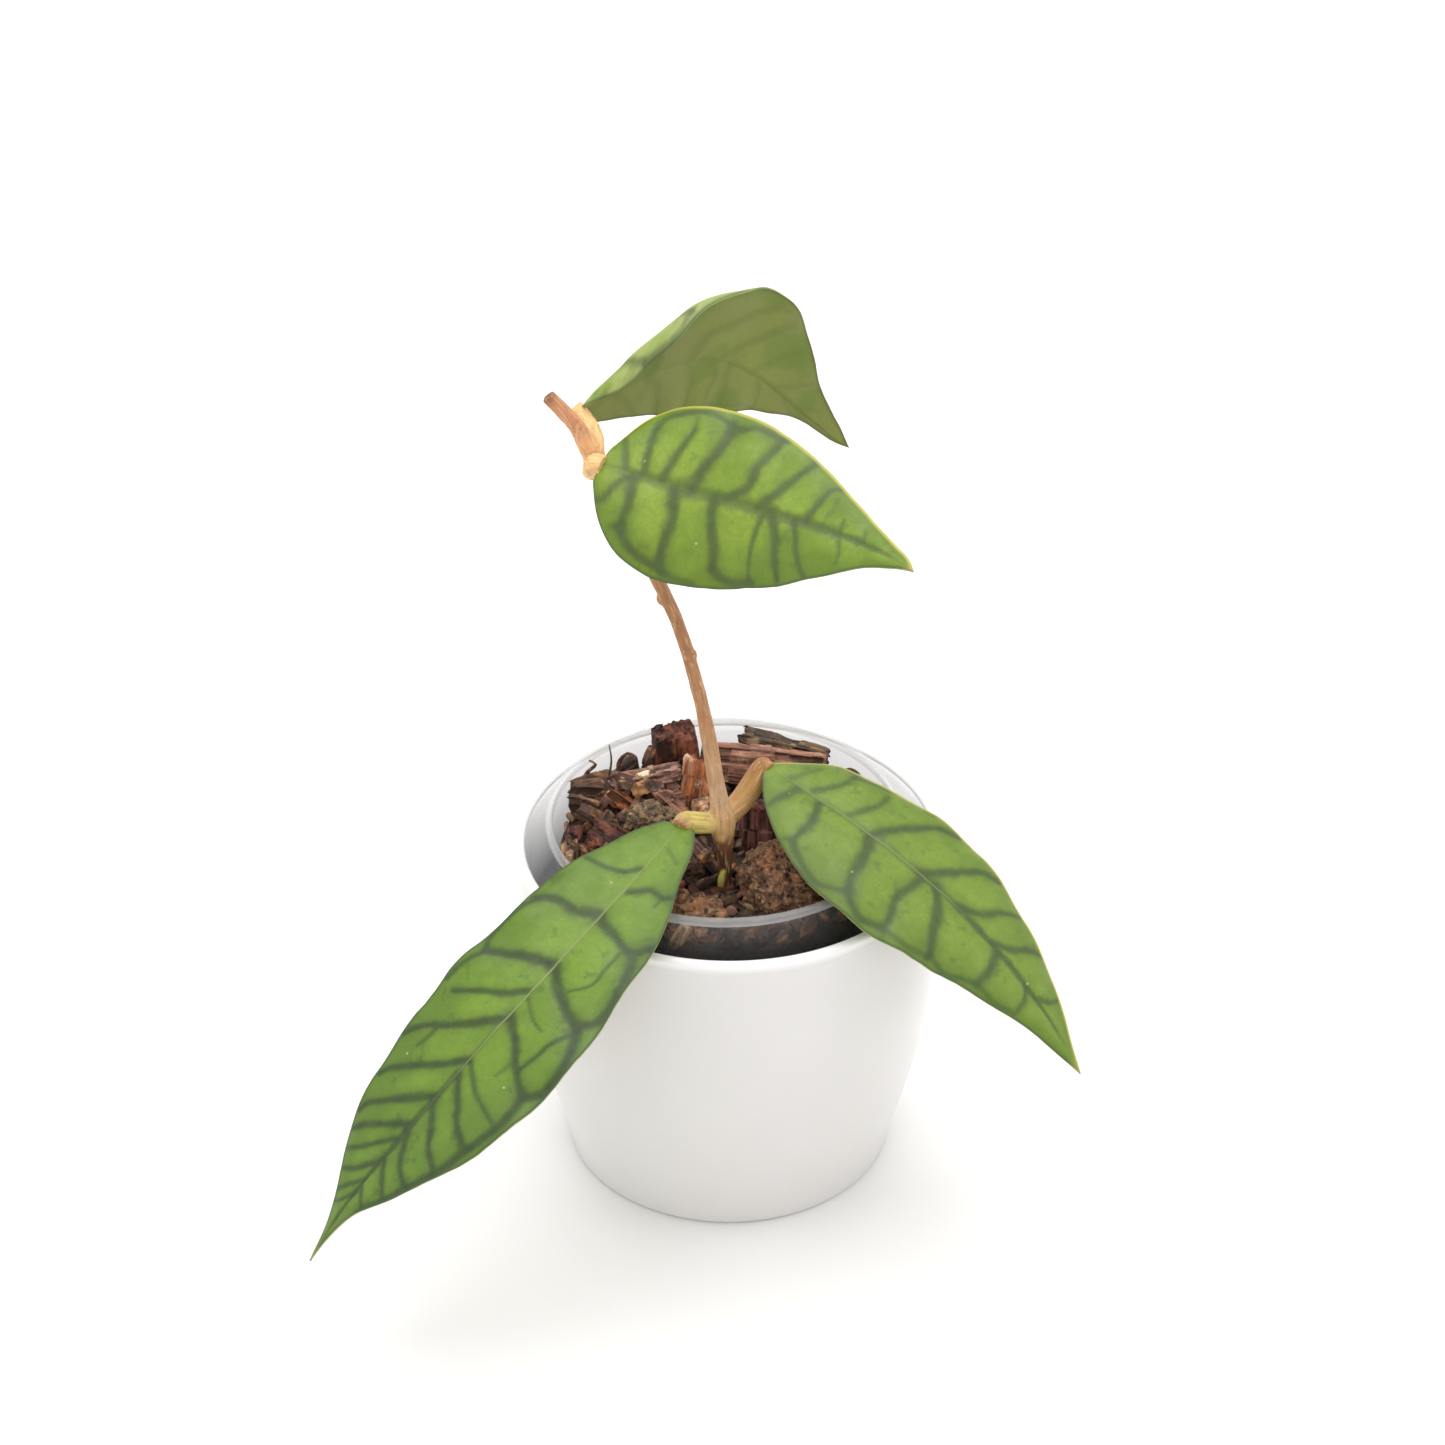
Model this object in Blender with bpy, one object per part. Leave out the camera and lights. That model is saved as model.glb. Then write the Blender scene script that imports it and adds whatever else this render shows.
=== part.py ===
"""Young hoya cutting with four leaves, in a plastic grow pot inside a white cover pot.

Units are metres with +Z up. The origin is the centre of the cover pot's flat base,
and the plant is seen from the front along +Y.
"""

import math
import random

import bmesh
import bpy
from mathutils import Matrix, Vector, noise
from mathutils.geometry import interpolate_bezier

MM = 0.001
GAP = 0.3 * MM
MERGE = 0.002 * MM

# Cover pot, turned about the world's Z axis
COVER_HEIGHT = 80.1 * MM
COVER_RIM_RADIUS = 46.8 * MM
COVER_WALL = 2.2 * MM
COVER_FLOOR = 3.3 * MM
COVER_BASE_RADIUS = 36.6 * MM
COVER_FOOT_ROUND = 1.6 * MM
COVER_INNER_ROUND = 2.0 * MM
COVER_BULGE = ((4, 36.9), (11, 38.7), (20, 41.1), (30, 43.3), (42, 45.0), (54, 45.7), (66, 45.9))
COVER_SIDES = 56

# Grow pot: an 8 cm nursery pot that stands inside the cover pot, a little off its axis
GROW_X = -1.0 * MM
GROW_LIP_RADIUS = 39.0 * MM
GROW_LIP_TOP = 85.7 * MM
GROW_LIP_DROP = 1.8 * MM
GROW_WALL = 0.8 * MM
GROW_MOUTH_RADIUS = 38.4 * MM
GROW_BASE_RADIUS = 28.5 * MM
GROW_FLOOR = 1.2 * MM
GROW_FOOT_ROUND = 1.0 * MM
GROW_LIP_ROUND = 0.3 * MM
GROW_STANDS_AT = COVER_FLOOR + GAP
GROW_SIDES = 48
DRAIN_COUNT = 6
DRAIN_RADIUS = 2.0 * MM
DRAIN_CIRCLE = 20.0 * MM
DRAIN_SIDES = 10
DRILL_OVERRUN = 1.0 * MM

# Potting mix: a bed with bark chunks half sunk in it
MIX_TOP = 75.8 * MM
MIX_SIDES = 40
MIX_FOOT_ROUND = 1.5 * MM
ROOM_OVERRUN = 20.0 * MM
POCKET_GAP = 0.4 * MM
STEM_HOLE_DEPTH = 52
STEM_HOLE_REACH = 99
STEM_HOLE_GAP = 0.45

# Plain chunks, in rings of (radius in millimetres, number of chunks) round the pot's axis
CHIP_SEED = 7
CHIP_RINGS = ((30.5, 13), (22.5, 9), (13.0, 6))
CHIP_SPREAD = 2.0 * MM
CHIP_LENGTHS = (9.0 * MM, 15.0 * MM)
CHIP_SECTIONS = (6.0 * MM, 9.0 * MM)
CHIP_TURNS = ((0, 180), (-25, 25), (-20, 20))
CHIP_HEIGHTS = (-1.5 * MM, 1.8 * MM)
CHIP_ROUGHNESS = 0.07
CHIP_CORNER_LOSS = 0.30
CLEAR_OF_CHUNKS = 6.0 * MM
CLEAR_OF_STEM = 9.0 * MM

# Stem and leaves
STEM_BEVEL_RESOLUTION = 3
STEM_STEP = 2.2
PETIOLE_POINTS = 9
BLADE_THICKNESS = 0.9 * MM
BLADE_ROWS = 26
BLADE_COLUMNS = 10
ROLLED_BLADE_COLUMNS = 12
BLADE_SECTION_STEPS = 14
MIDRIB_SAMPLES = 120
TIP_CROWDING = 0.45
TIP_CROWDING_POWER = 1.6
ROLL_WIDENS_BY = 0.2
BLADE_STATIONS = (0.0, 0.04, 0.10, 0.20, 0.32, 0.45, 0.58, 0.70, 0.80, 0.88, 0.94, 1.0)

# Bark chunks that show from the front: centre in millimetres, length, width and height
# in millimetres, then turn about Z, lean forwards and lean sideways in degrees
SHOWN_CHUNKS = (
    ((-12, 26, 81.3), (10, 8, 17), (12, 4, -4)),
    ((-7.5, 17, 79.3), (6, 4, 14), (-10, -28, 4)),
    ((8, 24, 79.3), (25, 10, 7), (-4, -24, 3)),
    ((14, 30, 82.3), (22, 6, 8), (-16, -18, -4)),
    ((-29, 15, 78.3), (12, 9, 12), (18, 0, 6)),
    ((-20, 19, 78.3), (15, 9, 8), (8, -22, -6)),
    ((-26, -1, 77.3), (9, 7, 9), (-24, 10, 14)),
    ((-33, -7, 77.3), (5, 5, 8), (10, 0, 0)),
    ((-6, 8.5, 79.3), (5, 5, 6), (30, 0, 10)),
    ((8.5, 2, 79.3), (12, 7, 13), (6, -26, 4)),
)

# Lava stones: node name, centre and half sizes in millimetres, seed of the surface
LAVA_STONES = (
    ("lava_stone_large", (11.0, -17.0, 80.3), (8.8, 9.8, 8.2), 3),
    ("lava_stone_front", (-7.0, -27.3, 77.9), (6.4, 6.0, 5.6), 11),
    ("lava_stone_left", (-17.0, 5.0, 79.9), (6.8, 5.6, 5.0), 5),
    ("lava_stone_dark", (-9.8, -9.5, 77.3), (4.2, 4.4, 4.4), 8),
    ("lava_stone_right", (24.0, -4.0, 78.5), (7.4, 6.4, 5.8), 14),
)
STONE_DETAIL = 2
STONE_LUMPS = ((1.7, 0.16), (5.0, 0.05))
STONE_SEED_STEP = Vector((3.7, 1.3, 2.1))

# Main stem in millimetres: (x, y, z, radius) rows read as one smooth curve
STEM_RUN = (
    (0.3, -15.5, 54, 1.3), (-0.4, -15.0, 66, 1.35), (-0.9, -14.5, 74, 1.4),
    (-1.0, -13.2, 82, 1.6), (-1.2, -12.0, 87, 2.2), (-1.5, -11.3, 92, 3.0),
    (-2.0, -11.1, 96, 2.2), (-2.7, -11.0, 101, 1.85), (-4.5, -11.0, 114, 1.65),
    (-6.3, -11.0, 124, 1.5), (-8.6, -11.0, 134, 1.45), (-11.5, -11.0, 144, 1.45),
    (-17.1, -11.0, 158, 1.5), (-23.6, -11.0, 173, 1.8), (-28.0, -10.8, 183, 2.2),
    (-31.1, -10.8, 189, 1.65), (-36.4, -10.8, 195.5, 1.5),
)
# Each leaf's petiole, a Bezier curve in millimetres: where it leaves the stem, its first
# handle, its radius at both ends, and how long a stretch runs in line with its blade
PETIOLES = {
    "leaf_lower_left": ((-1.6, -11.2, 92.0), (-5.0, -12.6, 91.4), (2.2, 2.4), 1.4),
    "leaf_lower_right": ((-1.2, -10.9, 92.6), (3.8, -5.8, 94.0), (2.3, 1.7), 1.8),
    "leaf_upper_front": ((-27.6, -11.0, 181.5), (-27.8, -15.6, 178.2), (2.0, 2.2), 1.2),
    "leaf_upper_back": ((-27.6, -11.0, 182.4), (-27.0, -7.4, 186.4), (2.3, 2.6), 1.2),
}
STEM_NUBS = (((-8.1, -12.3, 134.8), 1.5), ((-13.6, -10.2, 147.5), 1.6), ((-1.6, -13.3, 88.8), 1.5))

# Leaves. The midrib is a Bezier curve in millimetres; roll turns the blade about it in
# degrees at the base, the middle and the tip; fold and curl slope the left and the right
# half; left and right are half widths in millimetres at BLADE_STATIONS; a rolled leaf
# turns its right margin under where rolled_from gives a half width.
LEAVES = {
    "leaf_lower_left": {
        "midrib": ((-10.2, -15.9, 93.5), (-28.0, -48.0, 89.9), (-74.0, -79.0, 55.8), (-87.5, -81.3, 28.9)),
        "roll": (0, 8, 2),
        "fold": (6, 6),
        "curl": (-10, -10),
        "left": (3.3, 6.0, 8.4, 14.0, 16.9, 19.6, 19.4, 15.6, 9.2, 3.2, 1.1, 0.0),
        "right": (4.1, 7.7, 10.9, 15.3, 16.6, 18.3, 17.2, 15.3, 11.2, 4.6, 1.5, 0.0),
        "wave": (0.5, 7.0),
    },
    "leaf_lower_right": {
        "midrib": ((8.4, -2.9, 100.1), (35.0, -22.5, 92.3), (56.0, -31.5, 81.8), (74.4, -48.9, 52.7)),
        "roll": (-2, -2, -2),
        "fold": (5, 5),
        "curl": (-20, -20),
        "left": (1.9, 6.3, 12.3, 15.0, 17.7, 18.1, 15.5, 11.3, 7.8, 4.3, 1.9, 0.0),
        "right": (2.1, 7.0, 12.2, 18.1, 21.0, 20.6, 16.8, 12.4, 7.8, 4.5, 2.3, 0.0),
        "wave": (0.4, 6.0),
    },
    "leaf_upper_front": {
        "midrib": ((-25.7, -18.2, 183.8), (-3.0, -31.0, 183.3), (23.2, -42.3, 183.9), (35.0, -63.2, 186.5)),
        "roll": (-28, -40, -10),
        "fold": (4, 4),
        "curl": (-18, -24),
        "left": (4.6, 11.4, 16.0, 18.5, 18.7, 16.7, 12.7, 8.2, 5.0, 3.0, 1.9, 0.0),
        "right": (3.9, 9.4, 14.7, 18.5, 18.9, 17.1, 14.2, 10.3, 6.2, 3.4, 1.6, 0.0),
        "wave": (0.3, 6.0),
    },
    "leaf_upper_back": {
        "midrib": ((-29.2, -3.0, 187.2), (2.4, 14.9, 204.3), (6.4, 26.2, 175.8), (25.6, 29.8, 160.3)),
        "roll": (80, 85, 90),
        "fold": (5, 5),
        "curl": (-15, -15),
        "left": (3.0, 5.1, 7.3, 10.9, 12.8, 12.5, 9.6, 5.4, 2.1, 1.1, 0.9, 0.0),
        "right": (3.4, 6.0, 9.6, 13.2, 17.0, 18.0, 15.8, 10.2, 6.2, 4.0, 2.4, 0.0),
        "rolled_from": (1.6, 2.4, 3.6, 6.3, 11.8, 15.6, 15.8, 10.2, 6.2, 4.0, 2.4, 0.0),
        "roll_radius": (1.4, 3.0),
        "wave": (0.6, 6.5),
    },
}


def clear_scene():
    """Remove every object of the open file."""
    for item in list(bpy.data.objects):
        bpy.data.objects.remove(item, do_unlink=True)


def material(name, colour, roughness, alpha=1.0):
    """Principled material with one colour."""
    result = bpy.data.materials.new(name)
    result.use_nodes = True
    shader = result.node_tree.nodes["Principled BSDF"]
    shader.inputs["Base Color"].default_value = (*colour, 1.0)
    shader.inputs["Roughness"].default_value = roughness
    shader.inputs["Metallic"].default_value = 0.0
    shader.inputs["Alpha"].default_value = alpha
    return result


def add_object(name, bm, surface, smooth_angle=None):
    """Turn a bmesh into a named object with one material."""
    mesh = bpy.data.meshes.new(name)
    bm.to_mesh(mesh)
    bm.free()
    if surface is not None:
        mesh.materials.append(surface)
    if smooth_angle is not None:
        mesh.shade_smooth()
        mesh.set_sharp_from_angle(angle=math.radians(smooth_angle))
    item = bpy.data.objects.new(name, mesh)
    bpy.context.scene.collection.objects.link(item)
    return item


def turned(profile, sides, centre=(0.0, 0.0)):
    """Bmesh of a closed profile of (radius, height) points spun about Z."""
    bm = bmesh.new()
    ring = [bm.verts.new((centre[0] + radius, centre[1], height)) for radius, height in profile]
    edges = [bm.edges.new((ring[i], ring[(i + 1) % len(ring)])) for i in range(len(ring))]
    bmesh.ops.spin(
        bm, geom=ring + edges, cent=(centre[0], centre[1], 0.0), axis=(0.0, 0.0, 1.0),
        angle=2.0 * math.pi, steps=sides, use_merge=True,
    )
    bmesh.ops.remove_doubles(bm, verts=bm.verts, dist=MERGE)
    bmesh.ops.dissolve_degenerate(bm, edges=bm.edges, dist=MERGE)
    loose = [edge for edge in bm.edges if not edge.link_faces]
    bmesh.ops.delete(bm, geom=loose, context="EDGES")
    bmesh.ops.recalc_face_normals(bm, faces=bm.faces)
    return bm


def arc(centre, radius, start, end, steps):
    """Points of a round corner, from one angle to another in degrees."""
    result = []
    for i in range(steps + 1):
        angle = math.radians(start + (end - start) * i / steps)
        result.append((centre[0] + radius * math.cos(angle), centre[1] + radius * math.sin(angle)))
    return result


def cover_profile():
    """Outline of the cover pot's wall and floor, from the axis outwards and back."""
    bead = COVER_WALL / 2.0
    foot = (COVER_BASE_RADIUS - COVER_FOOT_ROUND, COVER_FOOT_ROUND)
    outside = [(0.0, 0.0)] + arc(foot, COVER_FOOT_ROUND, -90, -15, 3)
    bulge = [(radius * MM, height * MM) for height, radius in COVER_BULGE]
    rim = arc((COVER_RIM_RADIUS - bead, COVER_HEIGHT - bead), bead, -10, 190, 6)
    inside = [(radius - COVER_WALL, height) for radius, height in reversed(bulge)]
    corner = (inside[-1][0] - COVER_INNER_ROUND, COVER_FLOOR)
    return outside + bulge + rim + inside + [corner, (0.0, COVER_FLOOR)]


def grow_inner_radius(height):
    """Inner radius of the grow pot's wall at a height."""
    share = (height - GROW_STANDS_AT) / (GROW_LIP_TOP - GROW_STANDS_AT)
    return GROW_BASE_RADIUS + (GROW_MOUTH_RADIUS - GROW_BASE_RADIUS) * share - GROW_WALL


def grow_profile():
    """Outline of the grow pot, with a thin solid band round its mouth as the lip."""
    floor = GROW_STANDS_AT + GROW_FLOOR
    lip_foot = GROW_LIP_TOP - GROW_LIP_DROP
    mouth = grow_inner_radius(GROW_LIP_TOP)
    return [
        (0.0, GROW_STANDS_AT),
        (GROW_BASE_RADIUS - GROW_FOOT_ROUND, GROW_STANDS_AT),
        (GROW_BASE_RADIUS, GROW_STANDS_AT + GROW_FOOT_ROUND),
        (grow_inner_radius(lip_foot) + GROW_WALL, lip_foot),
        (GROW_LIP_RADIUS, lip_foot),
        (GROW_LIP_RADIUS, GROW_LIP_TOP - GROW_LIP_ROUND),
        (GROW_LIP_RADIUS - GROW_LIP_ROUND, GROW_LIP_TOP),
        (mouth + GROW_LIP_ROUND, GROW_LIP_TOP),
        (mouth, GROW_LIP_TOP - GROW_LIP_ROUND),
        (grow_inner_radius(floor + GROW_FOOT_ROUND), floor + GROW_FOOT_ROUND),
        (grow_inner_radius(floor) - GROW_FOOT_ROUND, floor),
        (0.0, floor),
    ]


def cylinder(radius, low, high, centre, sides):
    """Bmesh of an upright cylinder."""
    bm = bmesh.new()
    bmesh.ops.create_cone(
        bm, cap_ends=True, segments=sides, radius1=radius, radius2=radius, depth=high - low,
        matrix=Matrix.Translation((centre[0], centre[1], (low + high) / 2.0)),
    )
    return bm


def apply_boolean(item, operands, operation, solver="EXACT"):
    """Combine an object with others in one Boolean, apply it and remove the others."""
    group = bpy.data.collections.new("operands")
    bpy.context.scene.collection.children.link(group)
    for operand in operands:
        group.objects.link(operand)
    boolean = item.modifiers.new("combine", "BOOLEAN")
    boolean.operation = operation
    boolean.operand_type = "COLLECTION"
    boolean.collection = group
    boolean.solver = solver
    boolean.use_self = operation == "UNION"
    keep_evaluated(item)
    for operand in operands:
        bpy.data.objects.remove(operand, do_unlink=True)
    bpy.data.collections.remove(group)


def keep_evaluated(item):
    """Replace an object's mesh by its evaluated one and drop its modifiers."""
    bpy.context.view_layer.update()
    evaluated = item.evaluated_get(bpy.context.evaluated_depsgraph_get())
    mesh = bpy.data.meshes.new_from_object(evaluated)
    item.modifiers.clear()
    item.data = mesh


def keep_main_body(item):
    """Drop loose scraps and sealed hollows: only the largest closed shell stays."""
    bm = bmesh.new()
    bm.from_mesh(item.data)
    bmesh.ops.remove_doubles(bm, verts=bm.verts, dist=MERGE)
    bmesh.ops.dissolve_degenerate(bm, edges=bm.edges, dist=MERGE)
    bmesh.ops.triangulate(bm, faces=bm.faces)
    shells = []
    waiting = set(bm.faces)
    while waiting:
        shell = [waiting.pop()]
        for face in shell:
            for edge in face.edges:
                for other in edge.link_faces:
                    if other in waiting:
                        waiting.remove(other)
                        shell.append(other)
        shells.append(shell)
    shells.sort(key=shell_volume)
    scraps = [face for shell in shells[:-1] for face in shell]
    bmesh.ops.delete(bm, geom=scraps, context="FACES")
    bm.to_mesh(item.data)
    bm.free()


def shell_volume(faces):
    """Signed volume inside a set of triangles."""
    total = 0.0
    for face in faces:
        first, second, third = (corner.co for corner in face.verts)
        total += first.dot(second.cross(third)) / 6.0
    return total


def build_cover_pot():
    """White cover pot with a rounded rim."""
    white = material("white_glaze", (0.80, 0.78, 0.76), 0.35)
    return add_object("cover_pot", turned(cover_profile(), COVER_SIDES), white, 40)


def build_grow_pot():
    """Translucent grow pot with a ring of drain holes in its floor."""
    low = GROW_STANDS_AT - DRILL_OVERRUN
    high = GROW_STANDS_AT + GROW_FLOOR + DRILL_OVERRUN
    clear = material("milky_plastic", (0.62, 0.63, 0.64), 0.3)
    pot = add_object("grow_pot", turned(grow_profile(), GROW_SIDES, (GROW_X, 0.0)), clear, 40)
    drills = []
    for i in range(DRAIN_COUNT):
        angle = 2.0 * math.pi * i / DRAIN_COUNT
        centre = (GROW_X + DRAIN_CIRCLE * math.cos(angle), DRAIN_CIRCLE * math.sin(angle))
        drill = cylinder(DRAIN_RADIUS, low, high, centre, DRAIN_SIDES)
        drills.append(add_object("drill", drill, None))
    apply_boolean(pot, drills, "DIFFERENCE")
    return pot


def chunk(size, turns, place, rng):
    """Bark chunk: a box with broken corners, turned and placed."""
    bm = bmesh.new()
    bmesh.ops.create_cube(bm, size=1.0)
    bmesh.ops.subdivide_edges(bm, edges=bm.edges, cuts=1, use_grid_fill=True)
    for corner in bm.verts:
        away = corner.co.length
        shrink = 1.0 - CHIP_CORNER_LOSS * max(0.0, away - 0.5)
        corner.co *= shrink
        corner.co += Vector([rng.uniform(-CHIP_ROUGHNESS, CHIP_ROUGHNESS) for _ in range(3)])
    bmesh.ops.scale(bm, vec=size, verts=bm.verts)
    turn, forwards, sideways = (math.radians(angle) for angle in turns)
    pose = (
        Matrix.Translation(place) @ Matrix.Rotation(turn, 4, "Z")
        @ Matrix.Rotation(forwards, 4, "X") @ Matrix.Rotation(sideways, 4, "Y")
    )
    bmesh.ops.transform(bm, matrix=pose, verts=bm.verts)
    bmesh.ops.triangulate(bm, faces=bm.faces)
    return bm


def scattered_chunks(rng):
    """Sizes, turns and places of the plain chunks, ring by ring round the pot."""
    result = []
    for ring_radius, count in CHIP_RINGS:
        for i in range(count):
            angle = 2.0 * math.pi * (i + rng.uniform(-0.3, 0.3)) / count
            radius = ring_radius * MM + rng.uniform(-CHIP_SPREAD, CHIP_SPREAD)
            size = [rng.uniform(*CHIP_LENGTHS), rng.uniform(*CHIP_SECTIONS), rng.uniform(*CHIP_SECTIONS)]
            turns = [rng.uniform(*span) for span in CHIP_TURNS]
            height = MIX_TOP + rng.uniform(*CHIP_HEIGHTS)
            place = Vector((GROW_X + radius * math.cos(angle), radius * math.sin(angle), height))
            result.append((size, turns, place))
    return result


def clear_of_shown_pieces(place):
    """Whether a plain chunk keeps off the stem, the stones and the chunks that show."""
    foot = next(row for row in STEM_RUN if row[2] * MM > MIX_TOP)
    if (place.xy - Vector(foot[:2]) * MM).length < CLEAR_OF_STEM:
        return False
    for _, centre, half, _ in LAVA_STONES:
        if (place.xy - Vector(centre[:2]) * MM).length < max(half[:2]) * MM:
            return False
    for centre, _, _ in SHOWN_CHUNKS:
        if (place.xy - Vector(centre[:2]) * MM).length < CLEAR_OF_CHUNKS:
            return False
    return True


def stone(centre, half, seed, grow=0.0):
    """Lava stone: a rounded lump with a broken surface, half sizes in millimetres."""
    bm = bmesh.new()
    bmesh.ops.create_icosphere(bm, subdivisions=STONE_DETAIL, radius=1.0)
    shift = STONE_SEED_STEP * seed
    for corner in bm.verts:
        direction = corner.co.normalized()
        bump = 1.0
        for fineness, size in STONE_LUMPS:
            bump += size * noise.noise(direction * fineness + shift)
        reach = Vector([direction[i] * (half[i] * MM * bump + grow) for i in range(3)])
        corner.co = Vector(centre) * MM + reach
    return bm


def build_bark_mix():
    """Bed of mix with its bark chunks, shaped to the pot, the stones and the stem."""
    bark = material("bark", (0.10, 0.055, 0.035), 0.85)
    low = GROW_STANDS_AT + GROW_FLOOR + GAP
    bed = [
        (0.0, low),
        (grow_inner_radius(low) - MIX_FOOT_ROUND, low),
        (grow_inner_radius(low + MIX_FOOT_ROUND) - GAP, low + MIX_FOOT_ROUND),
        (grow_inner_radius(MIX_TOP) - GAP, MIX_TOP),
        (0.0, MIX_TOP),
    ]
    mix = add_object("bark_mix", turned(bed, MIX_SIDES, (GROW_X, 0.0)), bark, 30)
    rng = random.Random(CHIP_SEED)
    chunks = []
    for centre, size, turns in SHOWN_CHUNKS:
        bm = chunk([value * MM for value in size], turns, Vector(centre) * MM, rng)
        chunks.append(add_object("chunk", bm, None))
    for size, turns, place in scattered_chunks(rng):
        if clear_of_shown_pieces(place):
            chunks.append(add_object("chunk", chunk(size, turns, place, rng), None))
    apply_boolean(mix, chunks, "UNION")
    keep_main_body(mix)
    under = low - ROOM_OVERRUN
    over = GROW_LIP_TOP + ROOM_OVERRUN
    mouth = [
        (0.0, under),
        (grow_inner_radius(under) - GAP, under),
        (grow_inner_radius(GROW_LIP_TOP) - GAP, GROW_LIP_TOP),
        (grow_inner_radius(GROW_LIP_TOP) - GAP, over),
        (0.0, over),
    ]
    room = add_object("room_in_the_pot", turned(mouth, GROW_SIDES, (GROW_X, 0.0)), None)
    apply_boolean(mix, [room], "INTERSECT")
    keep_main_body(mix)
    pockets = []
    for name, centre, half, seed in LAVA_STONES:
        pockets.append(add_object("pocket", stone(centre, half, seed, POCKET_GAP), None))
    hole = [(x, y, z, radius + STEM_HOLE_GAP) for x, y, z, radius in STEM_RUN if z < STEM_HOLE_REACH]
    hole[0] = (*hole[0][:2], STEM_HOLE_DEPTH, hole[0][3])
    pockets.append(tube("stem_hole", smooth_points(hole)))
    apply_boolean(mix, pockets, "DIFFERENCE")
    keep_main_body(mix)
    mix.data.materials.clear()
    mix.data.materials.append(bark)
    return mix


def build_lava_stones():
    """Separate porous stones that lie in pockets of the mix."""
    lava = material("lava", (0.14, 0.10, 0.07), 0.9)
    for name, centre, half, seed in LAVA_STONES:
        add_object(name, stone(centre, half, seed), lava, 50)


def smooth_points(points):
    """Points of a smooth curve through (x, y, z, radius) rows, every few millimetres."""
    result = []
    last = len(points) - 1
    for i in range(last):
        before, start = points[max(i - 1, 0)], points[i]
        end, after = points[i + 1], points[min(i + 2, last)]
        count = max(1, round((Vector(end[:3]) - Vector(start[:3])).length / STEM_STEP))
        for k in range(count):
            result.append(catmull(before, start, end, after, k / count))
    result.append(points[-1])
    return result


def catmull(before, start, end, after, share):
    """Catmull-Rom blend of four rows of numbers."""
    result = []
    for a, b, c, d in zip(before, start, end, after):
        curve = (2 * b + (c - a) * share + (2 * a - 5 * b + 4 * c - d) * share ** 2
                 + (3 * b - a - 3 * c + d) * share ** 3)
        result.append(curve / 2.0)
    return tuple(result)


def tube(name, rows):
    """Closed tube along (x, y, z, radius) rows in millimetres, as a mesh object."""
    curve = bpy.data.curves.new(name, "CURVE")
    curve.dimensions = "3D"
    curve.bevel_depth = 1.0 * MM
    curve.bevel_resolution = STEM_BEVEL_RESOLUTION
    curve.use_fill_caps = True
    spline = curve.splines.new("POLY")
    spline.points.add(len(rows) - 1)
    for target, (x, y, z, radius) in zip(spline.points, rows):
        target.co = (x * MM, y * MM, z * MM, 1.0)
        target.radius = radius
    item = bpy.data.objects.new(name, curve)
    bpy.context.scene.collection.objects.link(item)
    bpy.context.view_layer.update()
    evaluated = item.evaluated_get(bpy.context.evaluated_depsgraph_get())
    mesh = bpy.data.meshes.new_from_object(evaluated)
    bpy.data.objects.remove(item, do_unlink=True)
    bm = bmesh.new()
    bm.from_mesh(mesh)
    bmesh.ops.remove_doubles(bm, verts=bm.verts, dist=MERGE)
    bmesh.ops.recalc_face_normals(bm, faces=bm.faces)
    return add_object(name, bm, None)


def nub(place, radius):
    """Small bump where a root or a leaf once grew."""
    bm = bmesh.new()
    bmesh.ops.create_icosphere(bm, subdivisions=1, radius=radius * MM)
    bmesh.ops.translate(bm, vec=Vector(place) * MM, verts=bm.verts)
    return add_object("nub", bm, None)


def petiole_rows(name):
    """Rows of a petiole that bends in line with its leaf's midrib and ends just short of the blade."""
    start, handle, radii, in_line = PETIOLES[name]
    base, ahead = (Vector(point) for point in LEAVES[name]["midrib"][:2])
    direction = (ahead - base).normalized()
    end = base - direction * GAP / MM
    bend = end - direction * in_line
    turn = bend - direction * in_line
    points = interpolate_bezier(Vector(start), Vector(handle), turn, bend, PETIOLE_POINTS) + [end]
    last = len(points) - 1
    return [(*point, radii[0] + (radii[1] - radii[0]) * i / last) for i, point in enumerate(points)]


def build_stem():
    """Stem with its four petioles, its cut end and its nubs, grown as one piece."""
    tan = material("stem_skin", (0.42, 0.22, 0.09), 0.6)
    stem = tube("stem", smooth_points(STEM_RUN))
    shoots = [tube("petiole", petiole_rows(name)) for name in PETIOLES]
    shoots += [nub(place, radius) for place, radius in STEM_NUBS]
    apply_boolean(stem, shoots, "UNION")
    keep_main_body(stem)
    stem.data.materials.clear()
    stem.data.materials.append(tan)
    stem.data.shade_smooth()
    stem.data.set_sharp_from_angle(angle=math.radians(50))
    return stem


def between(values, share):
    """Smooth value between the base, the middle and the tip."""
    first, middle, last = values
    return (first * (1 - share) * (1 - 2 * share) + 4 * middle * share * (1 - share)
            + last * share * (2 * share - 1))


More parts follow.
